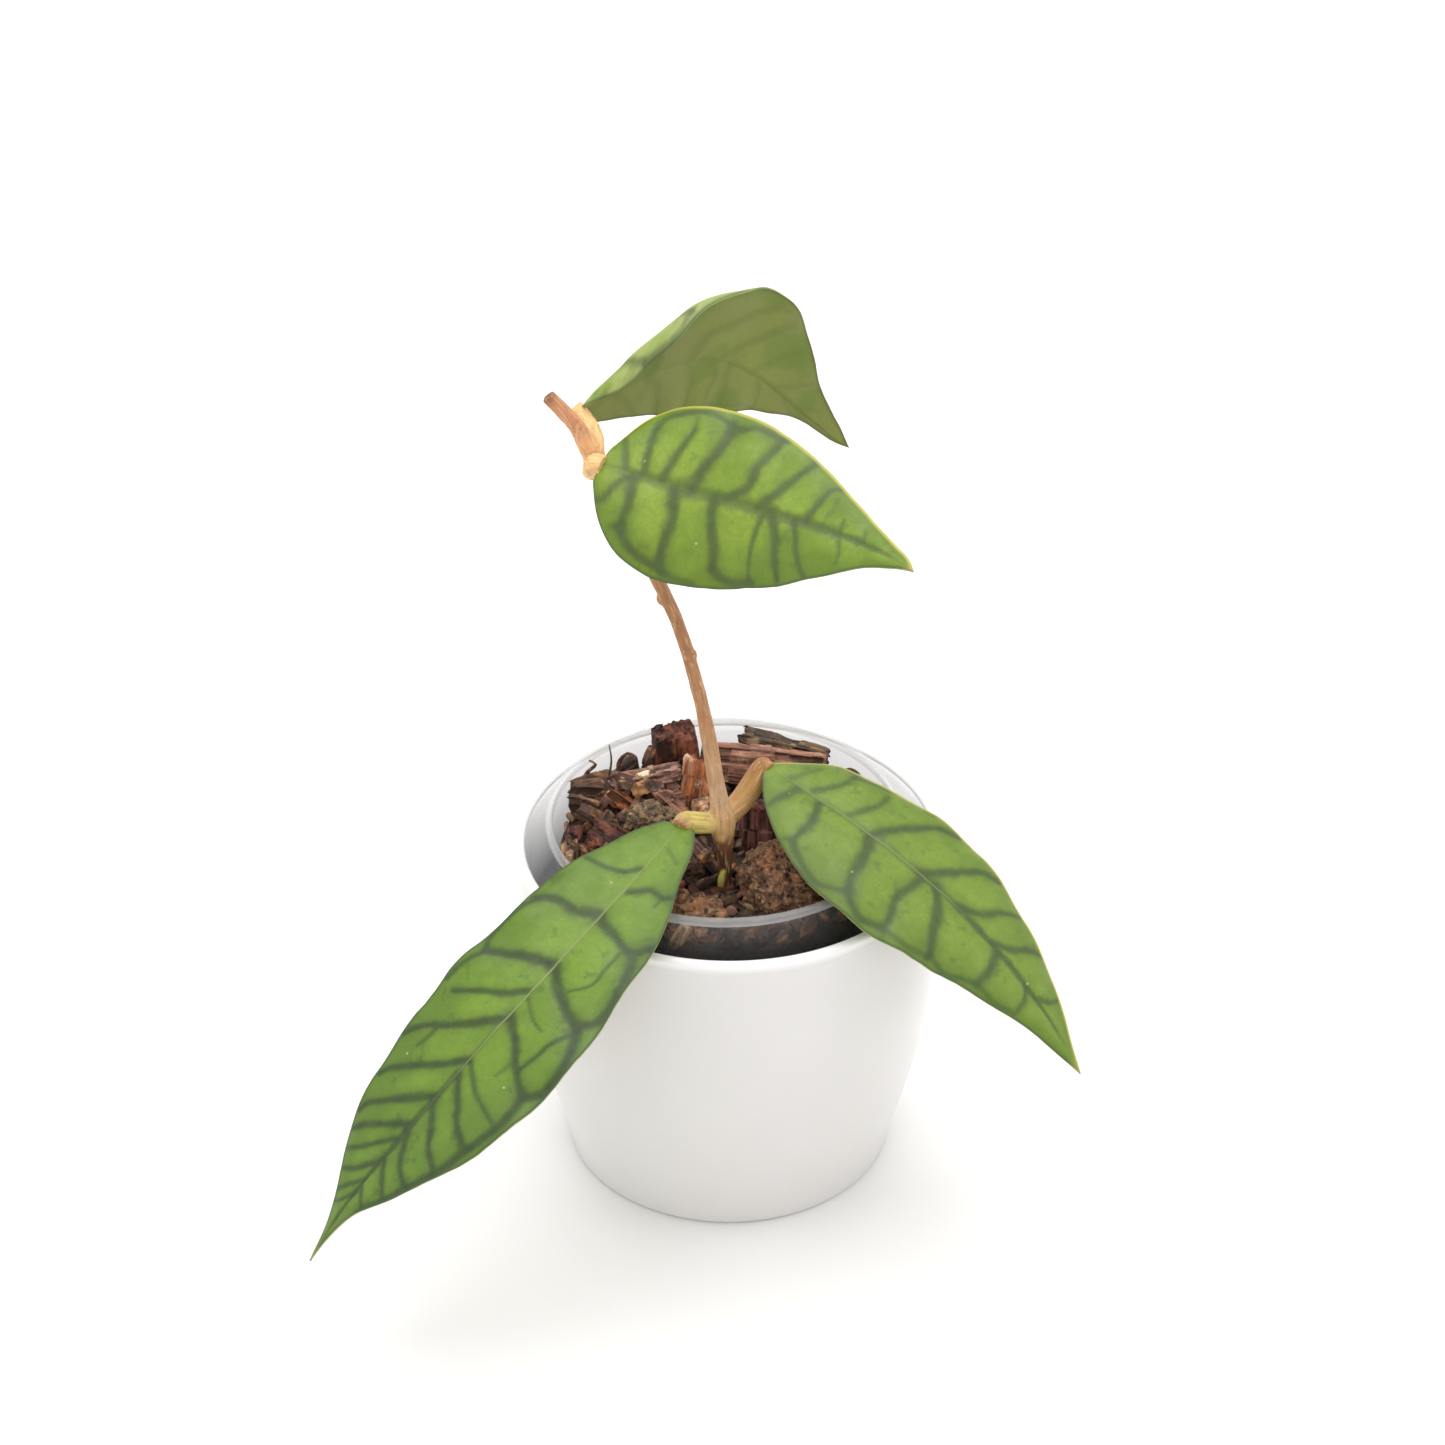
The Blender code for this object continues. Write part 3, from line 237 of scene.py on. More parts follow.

# Leaves, with the solids' midribs, turns and half widths at the stations, in millimetres and
# degrees; a wave is a height and a number of waves. Dim deepens the green towards the tip,
# the painted sheen pales the right margin, and sunlit is the side with a painted bright margin,
# left below zero.
# Rib rows are (share of the length, half width in millimetres, darkness, paleness). Veins are
# in hundredths: (half width in millimetres, darkness, points), where a point is (share of the
# length, share of the half width, left below zero). Vein width scales their half widths.
STATIONS = np.array((0.0, 0.04, 0.10, 0.20, 0.32, 0.45, 0.58, 0.70, 0.80, 0.88, 0.94, 1.0))
LEAVES = {
    "leaf_lower_left": {
        "midrib": ((-10.2, -15.9, 93.5), (-28.0, -48.0, 89.9), (-74.0, -79.0, 55.8), (-87.5, -81.3, 28.9)),
        "roll": (0, 8, 2),
        "fold": (6, 6),
        "curl": (-10, -10),
        "left": (3.3, 6.0, 8.4, 14.0, 16.9, 19.6, 19.4, 15.6, 9.2, 3.2, 1.1, 0.0),
        "right": (4.1, 7.7, 10.9, 15.3, 16.6, 18.3, 17.2, 15.3, 11.2, 4.6, 1.5, 0.0),
        "wave": (0.5, 7.0),
        "greens": ((116, 147, 42), (91, 120, 35), (46, 62, 32)),
        "dim": 0.75,
        "painted_sheen": 0.0,
        "vein_width": 1.4,
        "sunlit": 0,
        "rib": (
            (0.0, 0.3, 0.0, 0.2), (0.08, 0.4, 0.0, 0.6), (0.40, 0.4, 0.15, 1.0),
            (0.52, 0.5, 0.45, 0.7), (0.62, 0.8, 0.8, 0.15), (0.80, 0.75, 0.9, 0.0),
            (0.90, 0.5, 0.7, 0.0), (0.96, 0.3, 0.0, 0.0),
        ),
        "veins": (
            (55, 75, (12, 4), (14, 24), (15, 56), (15, 94)),
            (95, 95, (23, 2), (25, 32), (25, 64), (27, 92)),
            (60, 80, (26, 80), (30, 97), (37, 96), (40, 84)),
            (105, 95, (35, 2), (36, 28), (38, 56), (40, 82)), (60, 75, (40, 82), (43, 91), (48, 96)),
            (70, 85, (41, 3), (44, 26), (46, 50), (49, 78)),
            (80, 92, (47, 0), (50, 22), (54, 52), (57, 80), (60, 96)),
            (45, 60, (56, 62), (58, 64), (60, 68)),
            (75, 92, (56, 0), (60, 28), (63, 56), (66, 84), (68, 94)),
            (75, 92, (64, 0), (67, 26), (70, 54), (73, 84), (75, 94)),
            (75, 92, (70, 0), (73, 32), (76, 70), (78, 92)),
            (60, 85, (73, 0), (76, 24), (79, 54), (81, 88)), (60, 85, (78, 0), (82, 38), (84, 88)),
            (50, 80, (82, 0), (85, 40), (87, 86)), (45, 75, (85, 0), (88, 46), (89, 90)),
            (40, 35, (6, -20), (8, -68)), (60, 80, (17, -10), (15, -44), (15, -78), (14, -98)),
            (40, 50, (15, -78), (17, -68)), (85, 92, (24, -4), (25, -40), (26, -72), (23, -98)),
            (95, 92, (26, -76), (28, -88), (34, -96), (38, -92), (41, -74)),
            (35, 60, (27, -62), (31, -60), (34, -58), (37, -38)),
            (100, 95, (35, -2), (38, -28), (40, -54), (41, -72)),
            (100, 95, (41, -72), (43, -84), (47, -94), (52, -95), (55, -82)),
            (55, 80, (42, -76), (46, -64), (48, -62), (52, -56)),
            (85, 92, (46, -2), (49, -30), (52, -52), (55, -82)),
            (35, 55, (42, -4), (44, -24), (45, -46)), (40, 40, (52, -44), (55, -40)),
            (90, 92, (55, -82), (58, -87), (61, -90), (67, -86)),
            (45, 70, (56, -4), (59, -34), (60, -54), (61, -82)),
            (80, 92, (59, -2), (62, -26), (65, -50), (67, -84)),
            (80, 92, (67, -86), (70, -90), (73, -94)),
            (75, 92, (65, 0), (68, -26), (71, -52), (73, -94)),
            (75, 92, (73, -94), (76, -94), (78, -94)),
            (70, 90, (71, 0), (75, -28), (77, -56), (78, -94)),
            (65, 85, (78, -94), (82, -92), (87, -94)), (55, 85, (77, 0), (80, -40), (82, -90)),
            (45, 80, (83, 0), (85, -50), (86, -92)),
        ),
    },
    "leaf_lower_right": {
        "midrib": ((8.4, -2.9, 100.1), (35.0, -22.5, 92.3), (56.0, -31.5, 81.8), (74.4, -48.9, 52.7)),
        "roll": (-2, -2, -2),
        "fold": (5, 5),
        "curl": (-20, -20),
        "left": (1.9, 6.3, 12.3, 15.0, 17.7, 18.1, 15.5, 11.3, 7.8, 4.3, 1.9, 0.0),
        "right": (2.1, 7.0, 12.2, 18.1, 21.0, 20.6, 16.8, 12.4, 7.8, 4.5, 2.3, 0.0),
        "wave": (0.4, 6.0),
        "greens": ((122, 147, 50), (98, 123, 38), (60, 78, 42)),
        "dim": 0.25,
        "painted_sheen": 0.0,
        "vein_width": 1.4,
        "sunlit": -1,
        "rib": (
            (0.0, 0.4, 0.0, 0.1), (0.12, 0.9, 0.25, 0.25), (0.34, 1.0, 0.35, 0.6),
            (0.50, 0.9, 0.55, 0.4), (0.58, 1.0, 0.85, 0.0), (0.70, 0.9, 0.85, 0.0),
            (0.86, 0.55, 0.75, 0.0), (0.94, 0.4, 0.0, 0.0),
        ),
        "veins": (
            (60, 45, (6, -10), (9, -68)), (70, 75, (12, -10), (15, -44), (16, -72), (16, -90)),
            (60, 60, (16, -84), (20, -90), (24, -92)),
            (65, 70, (22, -8), (24, -36), (25, -56), (25, -80)),
            (90, 90, (29, -4), (32, -34), (35, -54), (38, -76), (43, -93)),
            (90, 90, (43, -2), (46, -24), (49, -48), (52, -72), (56, -90)),
            (75, 85, (54, -2), (59, -24), (61, -52), (65, -90)),
            (80, 88, (65, -2), (69, -28), (71, -56), (74, -92)), (60, 75, (80, 0), (83, -40), (84, -90)),
            (90, 80, (9, 10), (8, 46), (7, 86)), (85, 88, (15, 6), (17, 40), (17, 66), (17, 82)),
            (65, 80, (17, 82), (21, 91), (27, 94), (31, 86), (34, 76)), (45, 50, (17, 76), (15, 94)),
            (115, 92, (29, 5), (31, 28), (32, 58), (34, 76)),
            (80, 85, (34, 76), (36, 86), (40, 92), (45, 86)),
            (85, 85, (44, 0), (43, 30), (43, 52), (45, 74), (45, 86)),
            (55, 60, (46, 86), (52, 92), (57, 86)),
            (105, 92, (47, 0), (51, 24), (53, 46), (55, 66), (57, 86)),
            (60, 75, (57, 84), (60, 90), (63, 94), (69, 82)),
            (90, 90, (67, 2), (68, 24), (69, 50), (69, 80)), (50, 60, (70, 82), (75, 90), (80, 84)),
            (60, 75, (77, 0), (79, 30), (80, 70)),
        ),
    },
    "leaf_upper_front": {
        "midrib": ((-25.7, -18.2, 183.8), (-3.0, -31.0, 183.3), (23.2, -42.3, 183.9), (35.0, -63.2, 186.5)),
        "roll": (-28, -40, -10),
        "fold": (4, 4),
        "curl": (-18, -24),
        "left": (4.6, 11.4, 16.0, 18.5, 18.7, 16.7, 12.7, 8.2, 5.0, 3.0, 1.9, 0.0),
        "right": (3.9, 9.4, 14.7, 18.5, 18.9, 17.1, 14.2, 10.3, 6.2, 3.4, 1.6, 0.0),
        "wave": (0.3, 6.0),
        "greens": ((129, 154, 46), (97, 122, 30), (64, 80, 40)),
        "dim": 0.55,
        "painted_sheen": 0.0,
        "vein_width": 1.35,
        "sunlit": -1,
        "rib": (
            (0.0, 0.6, 0.1, 0.1), (0.08, 1.3, 0.42, 0.0), (0.30, 1.6, 0.52, 0.0),
            (0.48, 1.4, 0.58, 0.0), (0.65, 1.1, 0.68, 0.0), (0.84, 0.7, 0.75, 0.0),
            (0.94, 0.4, 0.0, 0.0),
        ),
        "veins": (
            (60, 75, (7, -6), (5, -32), (3, -68)), (85, 85, (12, -4), (11, -32), (10, -66)),
            (75, 80, (10, -66), (11, -80), (15, -88), (22, -91), (29, -84)),
            (75, 85, (18, -4), (19, -30), (20, -52), (21, -66)), (40, 45, (21, -66), (20, -84)),
            (120, 92, (27, -3), (28, -26), (30, -52), (31, -74), (30, -84)),
            (80, 85, (31, -78), (34, -82), (38, -90), (46, -93)),
            (85, 88, (38, -3), (42, -22), (42, -48), (44, -72), (45, -92)),
            (80, 88, (47, -2), (50, -26), (53, -58), (56, -95)),
            (70, 85, (61, -2), (62, -40), (63, -74), (65, -94)), (45, 55, (72, -5), (71, -40)),
            (40, 45, (80, -10), (78, -50)), (65, 80, (8, 10), (6, 36), (5, 66), (3, 90)),
            (100, 90, (10, 6), (12, 36), (12, 60), (13, 72)),
            (100, 90, (12, 70), (14, 78), (19, 86), (26, 89)), (45, 60, (12, 66), (9, 84)),
            (105, 92, (22, 4), (25, 32), (25, 54), (25, 80), (26, 89)),
            (60, 65, (26, 89), (30, 94), (36, 96)), (105, 92, (34, 4), (36, 30), (39, 56), (40, 78)),
            (80, 85, (40, 78), (43, 86), (47, 92), (53, 93)),
            (50, 75, (49, 4), (49, 34), (50, 62), (52, 92)),
            (85, 90, (51, 2), (55, 30), (57, 56), (60, 90)),
            (65, 80, (58, 2), (62, 40), (65, 68), (68, 92)), (45, 50, (72, 5), (75, 38), (76, 70)),
        ),
    },
    "leaf_upper_back": {
        "midrib": ((-29.2, -3.0, 187.2), (2.4, 14.9, 204.3), (6.4, 26.2, 175.8), (25.6, 29.8, 160.3)),
        "roll": (80, 85, 90),
        "fold": (5, 5),
        "curl": (-15, -15),
        "left": (3.0, 5.1, 7.3, 10.9, 12.8, 12.5, 9.6, 5.4, 2.1, 1.1, 0.9, 0.0),
        "right": (3.4, 6.0, 9.6, 13.2, 17.0, 18.0, 15.8, 10.2, 6.2, 4.0, 2.4, 0.0),
        "rolled_from": (1.6, 2.4, 3.6, 6.3, 11.8, 15.6, 15.8, 10.2, 6.2, 4.0, 2.4, 0.0),
        "roll_radius": (1.4, 3.0),
        "wave": (0.6, 6.5),
        "greens": ((129, 154, 46), (97, 122, 30), (64, 80, 40)),
        "dim": 0.4,
        "painted_sheen": 0.8,
        "vein_width": 1.15,
        "sunlit": 0,
        "rib": (
            (0.0, 0.5, 0.2, 0.0), (0.30, 0.5, 0.3, 0.2), (0.48, 0.35, 0.9, 0.0),
            (0.75, 0.35, 0.95, 0.0), (0.92, 0.3, 0.5, 0.0),
        ),
        "veins": (
            (80, 70, (10, 4), (13, 50), (17, 92)), (80, 75, (22, 4), (25, 40), (30, 90)),
            (100, 85, (34, 4), (38, 34), (42, 44), (46, 58), (52, 86)),
            (100, 85, (44, 4), (47, 16), (50, 30), (53, 42), (59, 86)),
            (70, 70, (57, 2), (62, 40), (67, 86)), (60, 65, (68, 2), (73, 40), (77, 88)),
            (50, 55, (79, 2), (84, 50)), (60, 60, (17, 92), (24, 95), (30, 90)),
            (60, 60, (52, 86), (56, 92), (60, 86)), (75, 65, (10, -4), (12, -50), (13, -92)),
            (90, 70, (20, -4), (23, -36), (22, -94)), (90, 75, (33, -4), (36, -40), (36, -90)),
            (100, 80, (42, -4), (45, -34), (44, -56), (45, -86)),
            (80, 75, (48, -4), (51, -52), (53, -82)), (60, 65, (60, -2), (64, -40), (66, -86)),
            (55, 60, (72, -2), (76, -50), (78, -88)),
            (60, 60, (36, -90), (40, -94), (45, -86), (53, -84), (66, -88)),
        ),
    },
}
# Fineness of the leaves: columns and rows of the grid, and steps along curves and veins
LEAF_COLUMNS = 96
LEAF_ROW_STEP = 0.46
BEZIER_STEP = 0.004
VEIN_STEPS = 8
# Relief of the leaves: the margin's raggedness and its step in millimetres, ripples and rib
RAGGED_MARGIN = 0.13
RAGGED_STEP = 2.6
RIPPLE_DEPTH = 0.25 * MM
RIB_DEPTH = 0.10 * MM

# Heights where the finishes change: the pots' rims, with a painted highlight on the cover pot's,
# and the bark and mix, painted dark low down as shade
COVER_RIM_GLOSS = (75.5 * MM, 78.5 * MM)
COVER_RIM_PAINTED_HIGHLIGHT = (77.3 * MM, 79.0 * MM)
GROW_LIP = (83.7 * MM, 84.1 * MM)
GROW_LIP_SKIRT = (85.0 * MM, 85.3 * MM)
BARK_PAINTED_SHADE = (74.5 * MM, 78.5 * MM)
MIX_PAINTED_SHADE = (74.8 * MM, 75.6 * MM)
PAINTED_SHADE_COLOUR = linear(22, 16, 13)

# Where a painted glow stands in for light through the back walls, along Y, and where the cover pot's
# inside gets painted shade: at the front along Y, and deep down along Z at the left along X
PAINTED_GLOW_SPAN = (-9.0 * MM, 19.0 * MM)
SHADE_FRONT = (-22.0 * MM, 2.0 * MM)
SHADE_DEEP = (60.0 * MM, 76.0 * MM)
SHADE_LEFT = (-38.0 * MM, -12.0 * MM)

# Soft lights: name, place and side in metres, and power in watts
AREA_LIGHTS = (
    ("top_light", (0.0, 0.2, 1.3), 1.2, 12.0),
    ("front_light", (0.1, -0.9, 1.0), 0.8, 1.8),
    ("left_light", (-1.1, -0.15, 0.7), 0.9, 1.2),
    ("right_light", (1.1, 0.1, 0.7), 0.9, 1.5),
)
LIGHT_TARGET = Vector((0.0, 0.0, 80.0)) * MM
CAMERA_TARGET = Vector((-1.45, 0.0, 109.7)) * MM


# Property groups

class HoyaLeafSettings(bpy.types.PropertyGroup):
    """Sizes and colours of the leaves."""

    thickness: FloatProperty(
        name="Thickness", description="Blade thickness beside the midrib",
        default=0.9 * MM, min=0.3 * MM, max=2.0 * MM, unit="LENGTH", precision=5,
    )
    margin: FloatProperty(
        name="Margin", description="Share of the thickness that is left at the margin",
        default=0.45, min=0.1, max=1.0, subtype="FACTOR",
    )
    relief: FloatProperty(
        name="Relief", description="How deep the dark veins lie below the green cells",
        default=0.14 * MM, min=0.0, max=1.0 * MM, unit="LENGTH", precision=5,
    )
    pale_rib: FloatVectorProperty(
        name="Pale rib", description="Colour of the midrib near the base",
        default=linear(150, 152, 100), subtype="COLOR",
    )
    rim: FloatVectorProperty(
        name="Rim", description="Colour of the thin line along the lower face's margin",
        default=linear(96, 88, 54), subtype="COLOR",
    )
    underside: FloatVectorProperty(
        name="Underside", description="Colour of the leaf's lower face",
        default=linear(124, 132, 54), subtype="COLOR",
    )


class HoyaStemSettings(bpy.types.PropertyGroup):
    """Sizes of the stem."""

    voxel: FloatProperty(
        name="Voxel", description="Size of the cells that join the stem and its petioles",
        default=0.3 * MM, min=0.15 * MM, max=1.0 * MM, unit="LENGTH", precision=5,
    )
    wrinkle: FloatProperty(
        name="Wrinkle", description="Depth of the fine lines along the stem",
        default=0.11 * MM, min=0.0, max=0.5 * MM, unit="LENGTH", precision=5,
    )


class HoyaMixSettings(bpy.types.PropertyGroup):
    """Sizes and colours of the potting mix."""

    shards: IntProperty(
        name="Shards", description="Number of middle-sized bark shards", default=110, min=0, max=400,
    )
    crumbs: IntProperty(
        name="Crumbs", description="Number of small bark crumbs", default=420, min=0, max=2000,
    )
    crumb_colour: FloatVectorProperty(
        name="Crumb", description="Colour of the fine mix between the chunks",
        default=linear(58, 42, 33), subtype="COLOR",
    )


class HoyaPotSettings(bpy.types.PropertyGroup):
    """Sizes and colours of the two pots."""

    sides: IntProperty(
        name="Sides", description="Steps round each pot", default=160, min=24, max=360,
    )
    glaze: FloatVectorProperty(
        name="Glaze", description="Colour of the cover pot",
        default=(0.76, 0.742, 0.726), subtype="COLOR",
    )
    # The inside is a darker copy of the glaze, as painted shade
    inside: FloatVectorProperty(
        name="Inside", description="Colour of the cover pot's inside",
        default=(0.62, 0.61, 0.60), subtype="COLOR",
    )
    # Strength of the painted glow that stands in for light through the pots' back walls
    glow: FloatProperty(
        name="Glow", description="Light that comes through the walls at the back",
        default=0.49, min=0.0, max=2.0,
    )
    milk: FloatVectorProperty(
        name="Milk", description="Colour of the translucent plastic",
        default=(0.90, 0.90, 0.895), subtype="COLOR",
    )


class HoyaStudioSettings(bpy.types.PropertyGroup):
    """Floor, lights and camera."""

    floor_size: FloatProperty(
        name="Floor", description="Side of the square floor", default=6.0, min=1.0, unit="LENGTH",
    )
    floor_colour: FloatVectorProperty(
        name="Floor colour", description="Colour of the floor",
        default=(0.96, 0.95, 0.935), subtype="COLOR",
    )
    sky: FloatProperty(
        name="Sky", description="Strength of the even white surroundings", default=0.76, min=0.0,
    )
    lens: FloatProperty(
        name="Lens", description="Focal length", default=100.0, min=10.0, unit="CAMERA",
    )
    distance: FloatProperty(
        name="Distance", description="Camera distance from its target",
        default=0.86, min=0.1, unit="LENGTH",
    )
    elevation: FloatProperty(
        name="Elevation", description="Angle that the camera looks down by",
        default=math.radians(33.78), subtype="ANGLE",
    )


# Mesh helpers

def smoothstep(low, high, value):
    """Smooth rise from 0 at low to 1 at high."""
    share = np.clip((value - low) / (high - low), 0.0, 1.0)
    return share * share * (3.0 - 2.0 * share)


def finish(name, bm, materials, replaced, smooth=True):
    """Turn a bmesh into a piece that rides with the pot and stands for CAD nodes."""
    mesh = bpy.data.meshes.new(name)
    bm.to_mesh(mesh)
    bm.free()
    for surface in materials:
        mesh.materials.append(surface)
    mesh.polygons.foreach_set("use_smooth", [smooth] * len(mesh.polygons))
    piece = bpy.data.objects.new(name, mesh)
    bpy.context.scene.collection.objects.link(piece)
    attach(piece, "root")
    if replaced:
        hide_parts(*replaced)
    return piece


def set_attribute(mesh, name, values, kind="FLOAT"):
    """Store one value, or one vector or colour, for each point of a mesh."""
    layer = mesh.attributes.new(name, kind, "POINT")
    field = {"FLOAT": "value", "FLOAT_VECTOR": "vector", "FLOAT_COLOR": "color"}[kind]
    layer.data.foreach_set(field, np.asarray(values, dtype=np.float32).ravel())


def turned(profile, sides, centre_x=0.0):
    """Bmesh of a closed (radius, height) profile spun about an upright axis."""
    bm = bmesh.new()
    ring = [bm.verts.new((centre_x + radius, 0.0, height)) for radius, height in profile]
    edges = [bm.edges.new((ring[i], ring[(i + 1) % len(ring)])) for i in range(len(ring))]
    bmesh.ops.spin(
        bm, geom=ring + edges, cent=(centre_x, 0.0, 0.0), axis=(0.0, 0.0, 1.0),
        angle=2.0 * math.pi, steps=sides, use_merge=True,
    )
    bmesh.ops.remove_doubles(bm, verts=bm.verts, dist=0.002 * MM)
    loose = [edge for edge in bm.edges if not edge.link_faces]
    bmesh.ops.delete(bm, geom=loose, context="EDGES")
    bmesh.ops.recalc_face_normals(bm, faces=bm.faces)
    return bm


def arc(x, y, radius, start, end, steps):
    """Points of a round corner about (x, y), from one angle to another in degrees."""
    angles = np.radians(np.linspace(start, end, steps + 1))
    return [(x + radius * math.cos(angle), y + radius * math.sin(angle)) for angle in angles]


def hermite(places, values, where):
    """Smooth curve through values at places, read at an array of positions."""
    places = np.asarray(places, dtype=float)
    values = np.asarray(values, dtype=float)
    runs = np.diff(places)
    rises = np.diff(values) / runs
    slopes = np.concatenate(([rises[0]], np.zeros(len(rises) - 1), [rises[-1]]))
    slopes[1:-1] = (rises[:-1] * runs[1:] + rises[1:] * runs[:-1]) / (runs[:-1] + runs[1:])
    k = np.clip(np.searchsorted(places, where) - 1, 0, len(runs) - 1)
    t = (where - places[k]) / runs[k]
    square, cube = t ** 2, t ** 3
    return (
        values[k] * (2 * cube - 3 * square + 1) + slopes[k] * runs[k] * (cube - 2 * square + t)
        + values[k + 1] * (3 * square - 2 * cube) + slopes[k + 1] * runs[k] * (cube - square)
    )


def smooth_rows(rows, steps=None):
    """Rows of numbers along a Catmull-Rom curve, in so many steps a stretch or about every 0.8 mm."""
    result = []
    last = len(rows) - 1
    for i in range(last):
        a, b, c, d = (np.array(rows[k]) for k in (max(i - 1, 0), i, i + 1, min(i + 2, last)))
        count = steps or max(1, round(float(np.linalg.norm(c[:3] - b[:3])) / STEM_STEP))
        for t in np.arange(count) / count:
            result.append((2 * b + (c - a) * t + (2 * a - 5 * b + 4 * c - d) * t ** 2
                           + (3 * b - a - 3 * c + d) * t ** 3) / 2.0)
    result.append(np.array(rows[-1]))
    return np.array(result)


def noise_grid(xs, ys, fineness, seed):
    """Noise at each point of a flat grid."""
    return np.array([[noise.noise(Vector((x * fineness, y * fineness, seed))) for x, y in zip(*row)]
                     for row in zip(xs, ys)])


# Material helpers

def node(tree, kind, inputs=None, **settings):
    """Add a node, set its fields and fill its sockets with values or links."""
    new = tree.nodes.new(kind)
    for key, value in settings.items():
        setattr(new, key, value)
    for key, value in (inputs or {}).items():
        if isinstance(value, bpy.types.NodeSocket):
            tree.links.new(value, new.inputs[key])
        else:
            new.inputs[key].default_value = value
    return new


def rgba(colour):
    """Colour with full alpha."""
    return (*tuple(colour)[:3], 1.0)


def mix(tree, factor, first, second, blend="MIX"):
    """Colour mix of two colours or sockets; gives the output socket."""
    first = first if isinstance(first, bpy.types.NodeSocket) else rgba(first)
    second = second if isinstance(second, bpy.types.NodeSocket) else rgba(second)
    inputs = {0: factor, 6: first, 7: second}
    return node(tree, "ShaderNodeMix", inputs, data_type="RGBA", blend_type=blend).outputs[2]


def maths(tree, operation, first, second, third=0.0):
    """Result socket of a Math node."""
    return node(tree, "ShaderNodeMath", {0: first, 1: second, 2: third}, operation=operation).outputs[0]


def spread(tree, value, low, high, to_low=0.0, to_high=1.0):
    """Value moved from one range to another and held inside it."""
    inputs = {"Value": value, "From Min": low, "From Max": high, "To Min": to_low, "To Max": to_high}
    return node(tree, "ShaderNodeMapRange", inputs).outputs["Result"]


def attribute(tree, name, output="Fac"):
    """Output socket of a stored attribute."""
    return node(tree, "ShaderNodeAttribute", attribute_name=name).outputs[output]


def grain(tree, vector, scale, detail=3.0, roughness=0.5):
    """Noise value at so many bumps per metre."""
    inputs = {"Vector": vector, "Scale": scale, "Detail": detail, "Roughness": roughness}
    return node(tree, "ShaderNodeTexNoise", inputs).outputs["Fac"]


def stretched(tree, vector, scale):
    """Vector scaled along its axes."""
    return node(tree, "ShaderNodeMapping", {"Vector": vector, "Scale": scale}).outputs["Vector"]


def place_on_piece(tree):
    """Place of a point in the part's frame."""
    return node(tree, "ShaderNodeTexCoord").outputs["Object"]


def axis_of(tree, place, axis):
    """One coordinate of a place."""
    return node(tree, "ShaderNodeSeparateXYZ", {"Vector": place}).outputs[axis]


def blotched(tree, colour, other, vector, noise_kind, low, high, most=1.0):
    """Colour that gives way to another where noise of a scale, detail and roughness is high."""
    share = spread(tree, grain(tree, vector, *noise_kind), low, high, 0.0, most)
    return mix(tree, share, colour, other)


def dots(tree, vector, scale, rarity, most):
    """Round dots, one in each cell whose random value is above the rarity."""
    cells = node(tree, "ShaderNodeTexVoronoi", {"Vector": vector, "Scale": scale, "Randomness": 1.0})
    rare = spread(tree, cells.outputs["Color"], rarity, rarity + 0.02)
    return maths(tree, "MULTIPLY", spread(tree, cells.outputs["Distance"], 0.04, 0.08, most, 0.0), rare)


def bump(tree, height, distance, strength=1.0):
    """Bump normal from a height value, with its depth in metres."""
    inputs = {"Height": height, "Distance": distance, "Strength": strength}
    return node(tree, "ShaderNodeBump", inputs).outputs["Normal"]


def new_material(name):
    """Material with an empty node tree and its Principled shader."""
    surface = bpy.data.materials.new(name)
    surface.use_nodes = True
    return surface, surface.node_tree, surface.node_tree.nodes["Principled BSDF"]


def connect(tree, shader, **inputs):
    """Set or link the shader's sockets, whose names have spaces for underscores."""
    for key, value in inputs.items():
        socket = shader.inputs[key.replace("_", " ")]
        if isinstance(value, bpy.types.NodeSocket):
            tree.links.new(value, socket)
        else:
            socket.default_value = value


# Leaves

def bezier(points, t):
    """Places on a cubic Bezier curve at an array of parameters."""
    t = t[:, None]
    a, b, c, d = points
    return a * (1 - t) ** 3 + 3 * b * (1 - t) ** 2 * t + 3 * c * (1 - t) * t ** 2 + d * t ** 3


def unit(vectors):
    """Vectors scaled to length one."""
    return vectors / np.linalg.norm(vectors, axis=-1, keepdims=True)


def wobble(values, seed):
    """Noise between -1 and 1 along an array of numbers."""
    return np.array([noise.noise(Vector((value, seed, 0.37))) for value in values])


